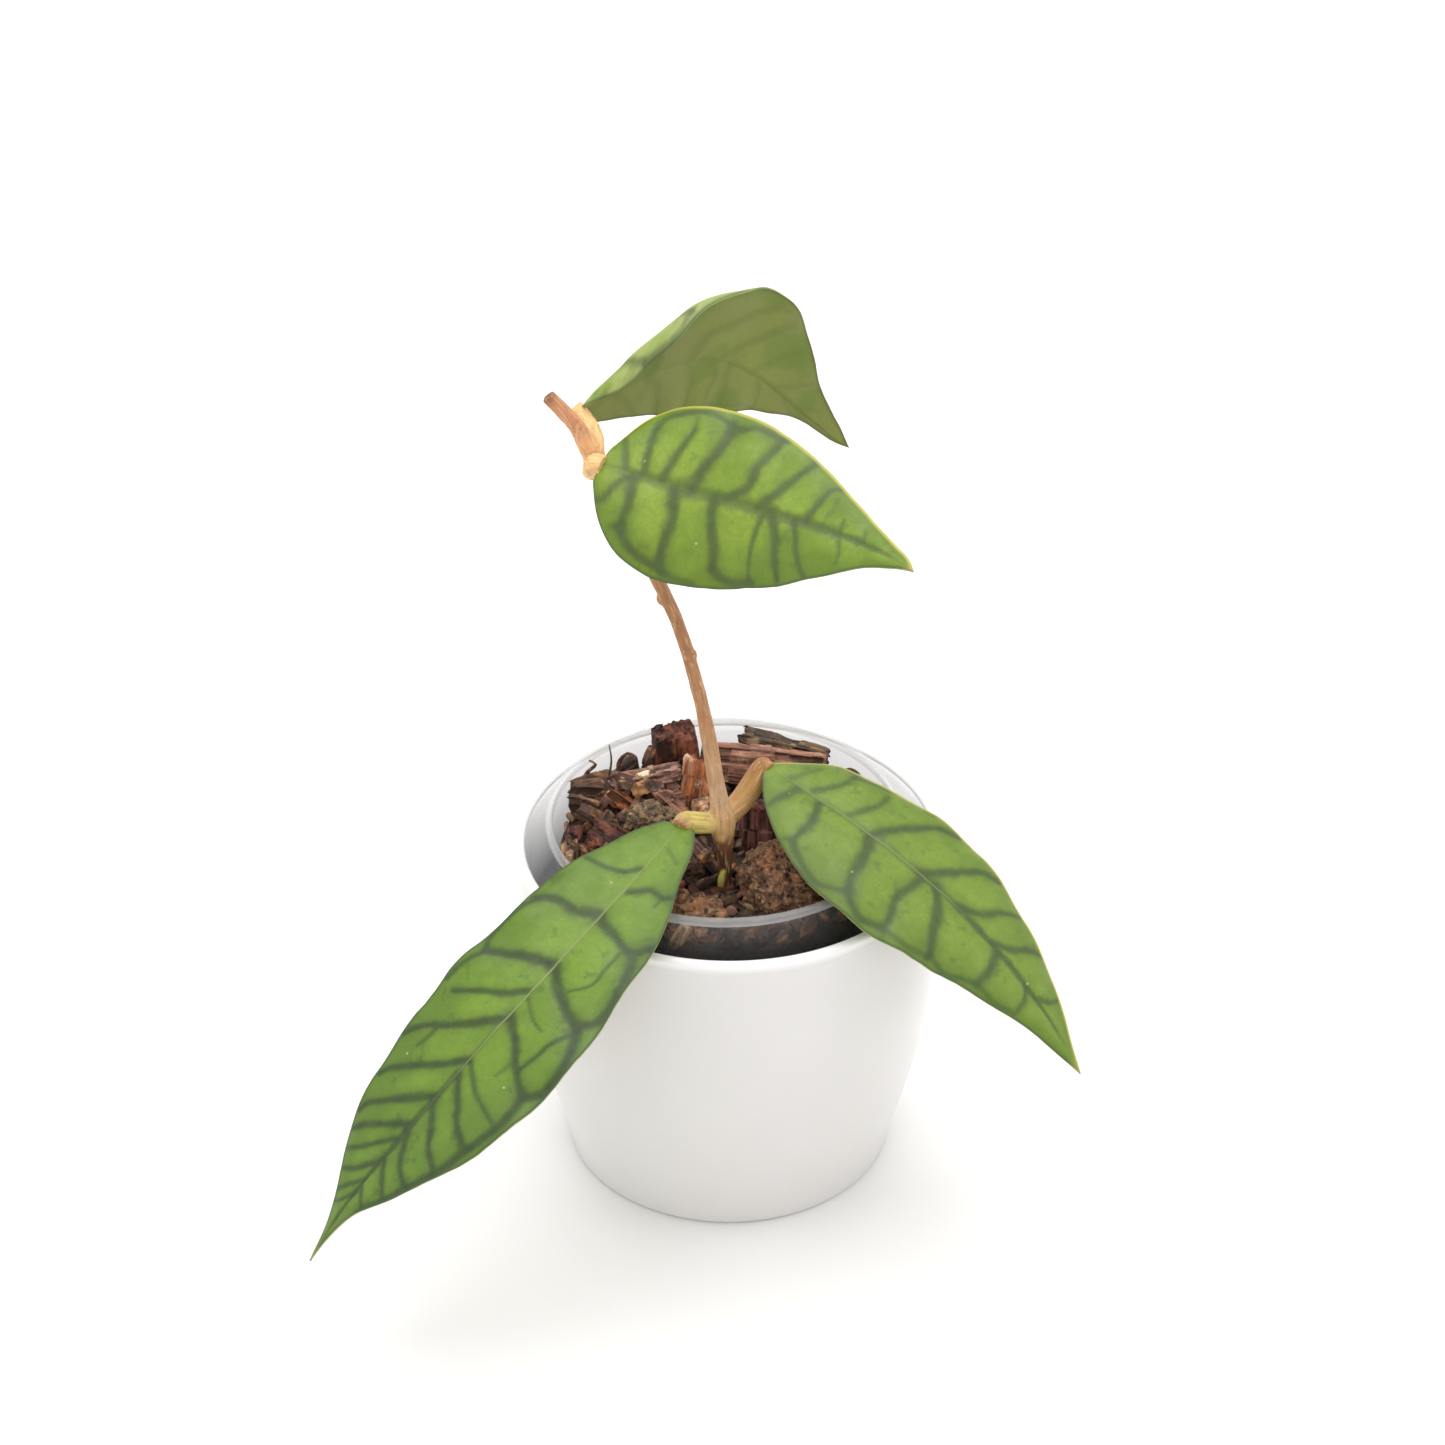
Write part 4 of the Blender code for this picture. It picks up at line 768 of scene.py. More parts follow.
class Blade:
    """Grid of points of one leaf, from its midrib, widths, folds and waves."""

    def __init__(self, leaf, seed, rows, columns):
        control = np.array(leaf["midrib"]) * MM
        fine = np.linspace(0.0, 1.0, 801)
        curve = bezier(control, fine)
        travelled = np.concatenate(([0.0], np.cumsum(np.linalg.norm(np.diff(curve, axis=0), axis=1))))
        self.length = travelled[-1]
        even = np.linspace(0.0, 1.0, rows + 1)
        self.share = even + (1.0 - (1.0 - even) ** 1.6 - even) * 0.45
        place_t = np.interp(self.share * self.length, travelled, fine)
        place = bezier(control, place_t)
        before, after = np.maximum(place_t - BEZIER_STEP, 0.0), np.minimum(place_t + BEZIER_STEP, 1.0)
        direction = unit(bezier(control, after) - bezier(control, before))
        right = unit(np.cross(direction, UP))
        upper = np.cross(right, direction)
        first, middle, last = leaf["roll"]
        s = self.share
        roll = first * (1 - s) * (1 - 2 * s) + 4 * middle * s * (1 - s) + last * s * (2 * s - 1)
        roll = np.radians(roll)
        side = right * np.cos(roll)[:, None] + upper * np.sin(roll)[:, None]
        upper = np.cross(side, direction)
        self.across = np.linspace(-1.0, 1.0, columns + 1)
        half_columns = columns // 2
        reach = np.zeros((rows + 1, columns + 1))
        rise = np.zeros_like(reach)
        self.width = np.zeros_like(reach)
        for half, key in enumerate(("left", "right")):
            ragged = wobble(s * self.length / (RAGGED_STEP * MM), seed + half)
            width = hermite(STATIONS, leaf[key], s) + RAGGED_MARGIN * ragged * np.sin(math.pi * s)
            width = np.maximum(width * MM, 0.0)
            flat = width
            if half == 1 and "rolled_from" in leaf:
                flat = np.minimum(width, hermite(STATIONS, leaf["rolled_from"], s) * MM)
            out, up = self.section(leaf, half, width, flat, half_columns)
            size, count = leaf["wave"]
            u = np.linspace(0.0, 1.0, half_columns + 1)
            wave = np.sin(math.pi * s) * np.sin(2 * math.pi * count * s + half)
            up = up + size * MM * wave[:, None] * (u ** 2)[None, :]
            if half == 0:
                reach[:, :half_columns + 1] = -out[:, ::-1]
                rise[:, :half_columns + 1] = up[:, ::-1]
                self.width[:, :half_columns + 1] = width[:, None]
            else:
                reach[:, half_columns:] = out
                rise[:, half_columns:] = up
                self.width[:, half_columns:] = width[:, None]
        place, side, upper = place[:, None, :], side[:, None, :], upper[:, None, :]
        self.points = place + side * reach[..., None] + upper * rise[..., None]
        along = np.gradient(self.points, axis=0)
        sideways = np.gradient(self.points, axis=1)
        normal = np.cross(sideways, along)
        size = np.linalg.norm(normal, axis=-1, keepdims=True)
        facing = np.broadcast_to(upper, normal.shape)
        self.normal = np.where(size > 1e-14, normal / np.maximum(size, 1e-14), facing)
        self.flat_x = self.across[None, :] * self.width / MM
        self.flat_y = np.broadcast_to((self.share * self.length / MM)[:, None], reach.shape)
        self.to_margin = (1.0 - np.abs(self.across))[None, :] * self.width / MM

    def section(self, leaf, half, width, flat, steps):
        """Reach and rise from the midrib to the margin for each row."""
        finer = 4
        u = (np.arange(steps * finer) + 0.5) / (steps * finer)
        slope = np.radians(leaf["fold"][half] + leaf["curl"][half] * u)[None, :]
        over = np.maximum(u[None, :] * width[:, None] - flat[:, None], 0.0)
        if "roll_radius" in leaf:
            tight, wide = leaf["roll_radius"]
            radius = (tight + (wide - tight) * np.minimum(1.0, self.share / 0.2)) * MM
            slope = slope - over / radius[:, None]
        slope = np.broadcast_to(slope, over.shape)
        length = (width / (steps * finer))[:, None]
        start = np.zeros((len(width), 1))
        out = np.concatenate((start, np.cumsum(np.cos(slope) * length, axis=1)), axis=1)
        up = np.concatenate((start, np.cumsum(np.sin(slope) * length, axis=1)), axis=1)
        return out[:, ::finer], up[:, ::finer]

    def flat_place(self, leaf, along, across):
        """Millimetres across and along the flattened blade of a point given in hundredths."""
        share = along / 100
        half = float(hermite(STATIONS, leaf["left" if across < 0 else "right"], np.array([share]))[0])
        return np.array((across / 100 * half, share * self.length / MM))

    def vein_pattern(self, leaf, seed):
        """Darkness of the vein net and paleness of the rib at each grid point."""
        x, y = self.flat_x, self.flat_y
        jitter = noise_grid(x, y, 0.45, seed) + 0.6 * noise_grid(x, y, 1.6, seed + 9.0)
        clear = np.ones_like(x)
        for half_width, darkness, *points in leaf["veins"]:
            line = smooth_rows([self.flat_place(leaf, *point) for point in points], VEIN_STEPS)
            distance, along = line_distance(x, y, line)
            half = leaf["vein_width"] * half_width / 100 * (1.0 - 0.25 * along) * (1.0 + 0.35 * jitter)
            far = distance / half
            soft = 0.80 * (1.0 - smoothstep(0.25, 1.5, far)) + 0.20 * (1.0 - smoothstep(0.5, 3.0, far))
            clear *= 1.0 - darkness / 100 * soft
        shares, halves, darks, pales = np.array(leaf["rib"]).T
        s = self.share
        half = np.interp(s, shares, halves)[:, None]
        dark = np.interp(s, shares, darks)[:, None]
        pale = np.interp(s, shares, pales)[:, None]
        clear *= 1.0 - dark * (1.0 - smoothstep(0.35, 1.6, np.abs(x) / (half * (1.0 + 0.3 * jitter))))
        rib = pale * (1.0 - smoothstep(0.16, 0.42, np.abs(x)))
        return 1.0 - clear, rib


def line_distance(x, y, line):
    """Distance of each point to a polyline, and how far along the line that is, 0 to 1."""
    best = np.full(x.shape, 1e9)
    along = np.zeros(x.shape)
    count = len(line) - 1
    for i in range(count):
        start, run = line[i], line[i + 1] - line[i]
        t = np.clip(((x - start[0]) * run[0] + (y - start[1]) * run[1]) / max(run @ run, 1e-9), 0.0, 1.0)
        distance = np.hypot(x - start[0] - run[0] * t, y - start[1] - run[1] * t)
        closer = distance < best
        best = np.where(closer, distance, best)
        along = np.where(closer, (i + t) / count, along)
    return best, along


def leaf_upper_material(name, greens, settings):
    """Waxy upper face: green cells, dark vein bands, a pale rib, a painted sheen, and a dark
    margin or a painted sunlit one.
    """
    surface, tree, shader = new_material(name)
    flat = attribute(tree, "flat", "Vector")
    vein = attribute(tree, "vein")
    light, deep, dark = (linear(*colour) for colour in greens)
    patches = spread(tree, grain(tree, flat, 130.0, 4.0, 0.55), 0.30, 0.70, -0.30, 0.55)
    inputs = {0: patches, 1: attribute(tree, "outer")}
    depth = node(tree, "ShaderNodeMath", inputs, operation="ADD", use_clamp=True)
    colour = mix(tree, depth.outputs[0], light, deep)
    colour = blotched(tree, colour, deep, flat, (850.0, 4.0, 0.65), 0.42, 0.75, 0.35)
    colour = blotched(tree, colour, linear(160, 178, 100), flat, (1900.0, 3.0, 0.6), 0.55, 0.80, 0.22)
    shaded = maths(tree, "MULTIPLY", spread(tree, vein, 0.0, 0.50), 0.55)
    colour = mix(tree, shaded, colour, deep)
    bent = node(tree, "ShaderNodeTexNoise", {"Vector": flat, "Scale": 260.0, "Detail": 2.0})
    inputs = {0: bent.outputs["Color"], "Scale": 2.6 * MM}
    moved = node(tree, "ShaderNodeVectorMath", inputs, operation="SCALE").outputs[0]
    net_place = node(tree, "ShaderNodeVectorMath", {0: flat, 1: moved}, operation="ADD").outputs[0]
    inputs = {"Vector": net_place, "Scale": 300.0}
    net = node(tree, "ShaderNodeTexVoronoi", inputs, feature="DISTANCE_TO_EDGE")
    line = spread(tree, net.outputs["Distance"], 0.0, 0.10, 0.22, 0.0)
    colour = mix(tree, line, colour, deep)
    colour = blotched(tree, colour, dark, flat, (310.0, 2.0), 0.62, 0.70, 0.30)
    # Painted sheen: the rolled right margin paler
    drawn = grain(tree, stretched(tree, flat, (1.0, 0.35, 1.0)), 300.0, 4.0, 0.6)
    painted_sheen = maths(tree, "MULTIPLY", attribute(tree, "painted_sheen"), spread(tree, drawn, 0.36, 0.60, 0.25, 1.0))
    colour = mix(tree, painted_sheen, colour, linear(172, 182, 112))
    uneven = spread(tree, grain(tree, flat, 420.0, 4.0, 0.6), 0.30, 0.70, 0.80, 1.0)
    colour = mix(tree, maths(tree, "MULTIPLY", vein, uneven), colour, dark)
    colour = mix(tree, attribute(tree, "rib"), colour, settings.pale_rib)
    # Painted light: the margin pale yellow on the sunlit side, dark green elsewhere
    rim = mix(tree, attribute(tree, "sunlit"), linear(64, 82, 54), linear(204, 190, 92))
    colour = mix(tree, attribute(tree, "rim"), colour, rim)
    colour = mix(tree, attribute(tree, "tip"), colour, linear(168, 150, 84))
    colour = mix(tree, dots(tree, flat, 230.0, 0.76, 0.40), colour, linear(214, 222, 178))
    gloss = spread(tree, grain(tree, flat, 260.0), 0.3, 0.7, 0.34, 0.48)
    normal = bump(tree, grain(tree, flat, 2600.0, 3.0, 0.6), 0.05 * MM, 0.35)
    connect(tree, shader, Base_Color=colour, Roughness=gloss, Normal=normal)
    connect(tree, shader, Subsurface_Weight=0.10, Subsurface_Scale=1.0 * MM)
    connect(tree, shader, Subsurface_Radius=(0.7, 1.0, 0.25), Specular_IOR_Level=0.38)
    return surface


def leaf_under_material(name, settings):
    """Dull olive lower face, with the vein bands showing through faintly."""
    surface, tree, shader = new_material(name)
    flat = attribute(tree, "flat", "Vector")
    deep = linear(90, 104, 32)
    colour = blotched(tree, settings.underside, linear(122, 128, 62), flat, (75.0, 4.0, 0.6), 0.40, 0.66)
    colour = blotched(tree, colour, linear(104, 124, 44), flat, (110.0,), 0.50, 0.62, 0.80)
    colour = mix(tree, attribute(tree, "tip"), colour, linear(96, 126, 40))
    colour = mix(tree, maths(tree, "MULTIPLY", attribute(tree, "vein"), 0.50), colour, deep)
    colour = blotched(tree, colour, deep, flat, (1400.0, 4.0, 0.7), 0.45, 0.8, 0.35)
    colour = mix(tree, attribute(tree, "rim"), colour, settings.rim)
    colour = mix(tree, dots(tree, flat, 150.0, 0.70, 0.6), colour, linear(78, 88, 42))
    normal = bump(tree, grain(tree, flat, 1800.0, 4.0, 0.6), 0.08 * MM, 0.4)
    connect(tree, shader, Base_Color=colour, Roughness=0.55, Normal=normal)
    connect(tree, shader, Subsurface_Weight=0.12, Subsurface_Scale=1.2 * MM)
    connect(tree, shader, Subsurface_Radius=(0.7, 1.0, 0.25), Specular_IOR_Level=0.4)
    return surface


def leaf_edge_material(name):
    """Pale yellow-green cut edge of the blade."""
    surface, tree, shader = new_material(name)
    flat = attribute(tree, "flat", "Vector")
    colour = blotched(tree, linear(168, 172, 92), linear(118, 132, 78), flat, (160.0,), 0.35, 0.65)
    connect(tree, shader, Base_Color=colour, Roughness=0.5)
    return surface


def build_leaf(name, leaf, seed, settings):
    """One blade with its waves, sunken veins and thin margin."""
    columns = LEAF_COLUMNS
    curve = np.array(leaf["midrib"])
    rows = int(np.linalg.norm(curve[3] - curve[0]) / LEAF_ROW_STEP)
    blade = Blade(leaf, seed, rows, columns)
    vein, rib = blade.vein_pattern(leaf, seed)
    ripple = noise_grid(blade.flat_x, blade.flat_y, 0.16, seed + 5.0)
    quiet = smoothstep(0.0, 4.0, blade.to_margin) * smoothstep(0.0, 6.0, blade.flat_y)
    lift = (RIPPLE_DEPTH * ripple - settings.relief * vein) * quiet - RIB_DEPTH * rib
    places = blade.points + blade.normal * lift[..., None]
    fields = {
        "vein": vein,
        "rib": rib,
        "rim": 0.70 * (1.0 - smoothstep(0.20, 0.90, blade.to_margin)),
        "sunlit": np.broadcast_to(blade.across * leaf["sunlit"] > 0.0, vein.shape).astype(float),
        "painted_sheen": np.broadcast_to(leaf["painted_sheen"] * smoothstep(0.40, 0.75, blade.across), vein.shape),
        "tip": np.broadcast_to(0.7 * smoothstep(0.95, 1.0, blade.share)[:, None], vein.shape),
        "outer": 0.65 * smoothstep(0.30, 1.0, np.broadcast_to(np.abs(blade.across), vein.shape))
        + leaf["dim"] * smoothstep(0.35, 0.80, np.broadcast_to(blade.share[:, None], vein.shape)),
    }
    flat = np.stack((blade.flat_x * MM, blade.flat_y * MM, np.full_like(vein, seed * 0.1)), axis=-1)
    thick = settings.margin + (1.0 - settings.margin) * smoothstep(0.0, 3.0, blade.to_margin)
    bm = bmesh.new()
    bmesh.ops.create_grid(bm, x_segments=columns, y_segments=rows, size=1.0, calc_uvs=True)
    layers = {key: bm.verts.layers.float.new(key) for key in fields}
    flat_layer = bm.verts.layers.float_vector.new("flat")
    weights = bm.verts.layers.deform.verify()
    tip = []
    for corner in bm.verts:
        spot = round((corner.co.y + 1.0) / 2.0 * rows), round((corner.co.x + 1.0) / 2.0 * columns)
        corner.co = places[spot]
        for key, values in fields.items():
            corner[layers[key]] = values[spot]
        corner[flat_layer] = flat[spot]
        corner[weights][0] = thick[spot]
        if spot[0] == rows:
            tip.append(corner)
    bmesh.ops.pointmerge(bm, verts=tip, merge_co=tip[0].co)
    upper = leaf_upper_material(name + "_upper", leaf["greens"], settings)
    under = leaf_under_material(name + "_under", settings)
    edge = leaf_edge_material(name + "_edge")
    piece = finish(name + "_blade", bm, (upper, under, edge), (name,))
    piece.vertex_groups.new(name="thickness")
    wall = piece.modifiers.new("thickness", "SOLIDIFY")
    wall.thickness = settings.thickness
    wall.offset = 0.0
    wall.vertex_group = "thickness"
    wall.thickness_vertex_group = 0.0
    wall.use_even_offset = False
    wall.material_offset = 1
    wall.material_offset_rim = 2


# Stem

def petiole_rows(name):
    """Rows of a petiole that bends in line with its blade and runs a little way into it."""
    start, handle, radii, in_line, swell = PETIOLES[name]
    base, ahead = (Vector(point) for point in LEAVES[name]["midrib"][:2])
    direction = (ahead - base).normalized()
    bend = base - direction * in_line
    turn = bend - direction * in_line
    end = base + direction * STALK_OVERLAP
    points = interpolate_bezier(Vector(start), Vector(handle), turn, bend, 24)
    points += [bend.lerp(end, 0.5), end]
    shares = np.linspace(0.0, 1.0, len(points))
    thick = (radii[0] + (radii[1] - radii[0]) * shares) * (1.0 + swell * np.sin(math.pi * shares))
    return np.column_stack((points, thick))


def add_tube(bm, rows):
    """Add a closed tube along (x, y, z, radius) rows in millimetres to a bmesh."""
    curve = bpy.data.curves.new("run", "CURVE")
    curve.dimensions = "3D"
    curve.bevel_depth = 1.0 * MM
    curve.bevel_resolution = 6
    curve.use_fill_caps = True
    spline = curve.splines.new("POLY")
    spline.points.add(len(rows) - 1)
    for target, (x, y, z, radius) in zip(spline.points, rows):
        target.co = (x * MM, y * MM, z * MM, 1.0)
        target.radius = radius
    item = bpy.data.objects.new("run", curve)
    bpy.context.scene.collection.objects.link(item)
    mesh = evaluated_mesh(item)
    bpy.data.objects.remove(item, do_unlink=True)
    bm.from_mesh(mesh)
    bpy.data.meshes.remove(mesh)


def evaluated_mesh(item):
    """Mesh of an object with its modifiers or its curve's bevel applied."""
    bpy.context.view_layer.update()
    return bpy.data.meshes.new_from_object(item.evaluated_get(bpy.context.evaluated_depsgraph_get()))


def remeshed(bm, voxel):
    """The same closed shape as a bmesh of small even faces."""
    rough = bpy.data.objects.new("rough", bpy.data.meshes.new("rough"))
    bm.to_mesh(rough.data)
    bm.free()
    bpy.context.scene.collection.objects.link(rough)
    skin = rough.modifiers.new("skin", "REMESH")
    skin.mode = "VOXEL"
    skin.voxel_size = voxel
    mesh = evaluated_mesh(rough)
    bpy.data.objects.remove(rough, do_unlink=True)
    result = bmesh.new()
    result.from_mesh(mesh)
    bpy.data.meshes.remove(mesh)
    return result


def stem_material():
    """Tan skin with fine lines along the stem and darker flecks."""
    surface, tree, shader = new_material("stem_skin")
    skin = attribute(tree, "skin", "Color")
    lines = attribute(tree, "lines", "Vector")
    place = place_on_piece(tree)
    colour = blotched(tree, skin, linear(128, 80, 48), lines, (1500.0, 3.0, 0.6), 0.42, 0.66, 0.42)
    colour = blotched(tree, colour, linear(240, 208, 168), lines, (2100.0, 2.0), 0.56, 0.66, 0.35)
    colour = blotched(tree, colour, linear(150, 92, 58), place, (330.0,), 0.50, 0.75, 0.35)
    colour = blotched(tree, colour, linear(84, 50, 32), place, (1900.0, 2.0), 0.66, 0.72, 0.55)
    normal = bump(tree, grain(tree, lines, 2600.0, 4.0, 0.65), 0.12 * MM, 0.5)
    connect(tree, shader, Base_Color=colour, Roughness=0.52, Normal=normal)
    connect(tree, shader, Subsurface_Weight=0.10, Subsurface_Scale=1.0 * MM)
    connect(tree, shader, Subsurface_Radius=(1.0, 0.6, 0.3), Specular_IOR_Level=0.4)
    return surface


def build_stem(settings):
    """Stem, petioles, cut end, nubs and sprout as one grown skin."""
    runs = {"stem": smooth_rows(STEM_RUN), "sprout": smooth_rows(SPROUT)}
    for name in PETIOLES:
        runs[name] = petiole_rows(name)
    bm = bmesh.new()
    for rows in runs.values():
        add_tube(bm, rows)
    for place, radius in STEM_NUBS:
        matrix = Matrix.Translation(Vector(place) * MM)
        bmesh.ops.create_icosphere(bm, subdivisions=3, radius=radius * MM, matrix=matrix)
    bm = remeshed(bm, settings.voxel)
    for _ in range(3):
        bmesh.ops.smooth_vert(
            bm, verts=bm.verts, factor=0.5, use_axis_x=True, use_axis_y=True, use_axis_z=True,
        )
    bm.normal_update()
    places = np.array([corner.co for corner in bm.verts])
    colours, lines, depth = stem_skin(places, runs)
    for corner, fold in zip(bm.verts, depth):
        corner.co += corner.normal * float(fold) * settings.wrinkle
    piece = finish("stem_skin", bm, (stem_material(),), ("stem",))
    set_attribute(piece.data, "skin", colours, "FLOAT_COLOR")
    set_attribute(piece.data, "lines", lines, "FLOAT_VECTOR")


def stem_skin(places, runs):
    """Skin colour, drawn-out coordinates and wrinkle of each point, from the nearest run."""
    centres, tangents, travelled, colours, radii = [], [], [], [], []
    for name, rows in runs.items():
        centre = rows[:, :3] * MM
        tangent = unit(np.gradient(centre, axis=0))
        steps = np.linalg.norm(np.diff(centre, axis=0), axis=1)
        shares = np.linspace(0.0, 1.0, len(rows))
        stops = [stop for stop, _ in SKIN[name]]
        palette = np.array([linear(*colour) for _, colour in SKIN[name]])
        colours.append(np.stack([np.interp(shares, stops, palette[:, k]) for k in range(3)], axis=1))
        centres.append(centre)
        tangents.append(tangent)
        travelled.append(np.concatenate(([0.0], np.cumsum(steps))))
        radii.append(rows[:, 3] * MM)
    centres, tangents = np.concatenate(centres), np.concatenate(tangents)
    travelled, colours, radii = np.concatenate(travelled), np.concatenate(colours), np.concatenate(radii)
    gap = np.linalg.norm(places[:, None, :] - centres[None, :, :], axis=2) / radii[None, :]
    weight = 1.0 / np.maximum(gap, 0.05) ** 10
    weight /= weight.sum(axis=1, keepdims=True)
    shade = np.ones((len(places), 4))
    shade[:, :3] = weight @ colours
    nearest = gap.argmin(axis=1)
    off = places - centres[nearest]
    axis = tangents[nearest]
    slide = np.sum(off * axis, axis=1, keepdims=True)
    lines = off - axis * slide + axis * 0.10 * (travelled[nearest][:, None] + slide)
    depth = np.array([noise.fractal(Vector(line) * 1500.0, 0.8, 2.0, 3) for line in lines])
    return shade, lines, depth


# Potting mix

def bark_material():
    """Rough layered bark, coloured by each chip and worn pale on its high places, with painted
    shade in its crevices and low down.
    """
    surface, tree, shader = new_material("bark")
    grained = attribute(tree, "grained", "Vector")
    deep = attribute(tree, "deep", "Color")
    pale = attribute(tree, "pale", "Color")
    layers = grain(tree, stretched(tree, grained, (0.22, 1.0, 1.0)), 700.0, 5.0, 0.65)
    colour = mix(tree, spread(tree, layers, 0.36, 0.60), deep, attribute(tree, "tint", "Color"))
    colour = blotched(tree, colour, pale, grained, (330.0, 4.0, 0.6), 0.54, 0.70, 0.85)
    worn = spread(tree, attribute(tree, "wear_and_crevice_shade"), 0.56, 0.90, 0.0, 0.75)
    colour = mix(tree, worn, colour, pale)
    # Painted shade in the chip's crevices
    painted_crevice_shade = spread(tree, attribute(tree, "wear_and_crevice_shade"), 0.40, 0.10, 0.0, 0.75)
    colour = mix(tree, painted_crevice_shade, colour, linear(24, 17, 14))
    colour = blotched(tree, colour, deep, grained, (2600.0, 2.0), 0.60, 0.70, 0.6)
    height = axis_of(tree, place_on_piece(tree), "Z")
    # Painted shade: the bark near black low down in the pot
    colour = mix(tree, spread(tree, height, *BARK_PAINTED_SHADE, 0.85, 0.0), colour, PAINTED_SHADE_COLOUR)
    gloss = spread(tree, grain(tree, grained, 240.0, 2.0), 0.35, 0.65, 0.50, 0.92)
    fine = maths(tree, "MULTIPLY", grain(tree, grained, 3000.0, 3.0, 0.7), 0.35)
    high = maths(tree, "ADD", layers, fine)
    connect(tree, shader, Base_Color=colour, Roughness=gloss, Normal=bump(tree, high, 0.9 * MM, 0.8))
    return surface


def crumb_material(colour):
    """Dark fine mix, painted darker low down as shade."""
    surface, tree, shader = new_material("fine_mix")
    place = place_on_piece(tree)
    lumps = grain(tree, place, 480.0, 5.0, 0.7)
    shade = mix(tree, spread(tree, lumps, 0.35, 0.65), linear(30, 21, 17), colour)
    shade = blotched(tree, shade, linear(104, 74, 56), place, (160.0,), 0.50, 0.72, 0.55)
    # Painted shade: the mix near black low down in the pot
    low_painted_shade = spread(tree, axis_of(tree, place, "Z"), *MIX_PAINTED_SHADE, 0.8, 0.0)
    shade = mix(tree, low_painted_shade, shade, PAINTED_SHADE_COLOUR)
    connect(tree, shader, Base_Color=shade, Roughness=0.9, Normal=bump(tree, lumps, 1.2 * MM))
    return surface


def twig_material():
    """Dark brown rootlets with paler worn places."""
    surface, tree, shader = new_material("twig")
    place = place_on_piece(tree)
    colour = blotched(
        tree, linear(62, 42, 32), linear(150, 108, 80), place, (700.0, 4.0, 0.6), 0.48, 0.66,
    )
    normal = bump(tree, grain(tree, place, 1800.0), 0.3 * MM, 0.7)
    connect(tree, shader, Base_Color=colour, Roughness=0.85, Normal=normal)
    return surface


def bark_layers(bm):
    """Point layers for the grain's coordinates, the wear and crevice shade, and the three colours."""
    kinds = bm.verts.layers
    layers = {"grained": kinds.float_vector.new("grained"), "wear_and_crevice_shade": kinds.float.new("wear_and_crevice_shade")}
    for key in ("tint", "deep", "pale"):
        layers[key] = kinds.float_color.new(key)
    return layers


class ChipHeap:
    """Bark chips gathered in one bmesh, with each point's grain, wear and crevice shade, and colours."""

    def __init__(self, seed):
        self.bm = bmesh.new()
        self.rng = random.Random(seed)
        self.one = bpy.data.meshes.new("chip")
        bark_layers(self.bm)

    def shard(self, size, cuts, spare):
        """Block of a size, broken along several planes."""
        bm = bmesh.new()
        bmesh.ops.create_cube(bm, size=1.0)
        for _ in range(cuts):
            normal = Vector([self.rng.gauss(0.0, 1.0) for _ in range(3)]).normalized()
            bmesh.ops.bisect_plane(
                bm, geom=bm.verts[:] + bm.edges[:] + bm.faces[:],
                plane_co=normal * self.rng.uniform(*spare), plane_no=normal, clear_outer=True,
            )
            bmesh.ops.holes_fill(bm, edges=[edge for edge in bm.edges if edge.is_boundary])
        bmesh.ops.scale(bm, vec=size, verts=bm.verts)
        return bm

    def add(self, size, turns, place, colour, cuts, voxel=0.0, rough=0.0, spare=(0.36, 0.60)):
        """Add one chip; where a voxel size is given it gets splinters, split layers and torn ends."""
        rng = self.rng
        colours = [linear(*shade) for shade in BARK_COLOURS[colour]]
        bm = self.shard(size, cuts, spare)
        if voxel:
            bm = remeshed(bm, voxel)
        bm.normal_update()
        layers = bark_layers(bm)
        shift = Vector([rng.uniform(-50.0, 50.0) for _ in range(3)])
        turn, forwards, sideways = (math.radians(angle) for angle in turns)
        pose = (
            Matrix.Translation(place) @ Matrix.Rotation(turn, 4, "Z")
            @ Matrix.Rotation(forwards, 4, "X") @ Matrix.Rotation(sideways, 4, "Y")
        )
        bright = rng.uniform(0.7, 1.3)
        long_side = max(range(3), key=lambda k: size[k])
        for corner in bm.verts:
            real = corner.co.copy()
            along = real[long_side]
            drawn = real.copy()
            drawn[long_side] = along * DRAWN_OUT
            depth = 0.0
            if voxel:
                fibre = noise.cell(drawn * FIBRES + shift) - 0.5
                splinter = noise.cell(drawn * SPLINTERS + shift) - 0.5
                split = noise.fractal(drawn * SPLITS + shift, 0.9, 2.1, 4)
                broad = noise.noise(real * SWELLS + shift)
                depth = 0.50 * splinter + 0.30 * fibre + 0.70 * split + 0.6 * broad
                real += corner.normal * depth * rough
                if abs(along) > 0.34 * size[long_side]:
                    torn = 0.10 * splinter + 0.10 * fibre + 0.05 * split
                    torn *= min(size[long_side], TORN_END)
                    real[long_side] += math.copysign(torn, along)
            others = [corner.co[(long_side + k) % 3] for k in (1, 2)]
            corner[layers["grained"]] = Vector((along, *others)) + shift * MM
            corner[layers["wear_and_crevice_shade"]] = 0.5 + 0.5 * depth
            for key, shade in zip(("tint", "deep", "pale"), colours):
                corner[layers[key]] = (*[channel * bright for channel in shade], 1.0)
            corner.co = pose @ real
            off_axis = Vector((corner.co.x - GROW_X, corner.co.y))
            over = off_axis.length - grow_inner_radius(corner.co.z) + MIX_GAP
            if over > 0.0:
                corner.co.xy -= off_axis.normalized() * over
        bm.to_mesh(self.one)
        bm.free()
        self.bm.from_mesh(self.one)

    def scatter(self, rng, count, kind, cuts, **broken):
        """Add so many loose bits of one kind, lying on the mix."""
        for _ in range(count):
            place = piled_place(rng, *(value * MM for value in kind["reach"]))
            size = [rng.uniform(*span) * MM for span in kind["sizes"]]
            turns = [rng.uniform(*span) for span in kind["turns"]]
            self.add(size, turns, place, rng.choice(FILL_COLOURS), cuts, **broken)

    def finish(self, name, surface, replaced=()):
        """Make the heap a piece."""
        bpy.data.meshes.remove(self.one)
        bmesh.ops.recalc_face_normals(self.bm, faces=self.bm.faces)
        finish(name, self.bm, (surface,), replaced, smooth=False)


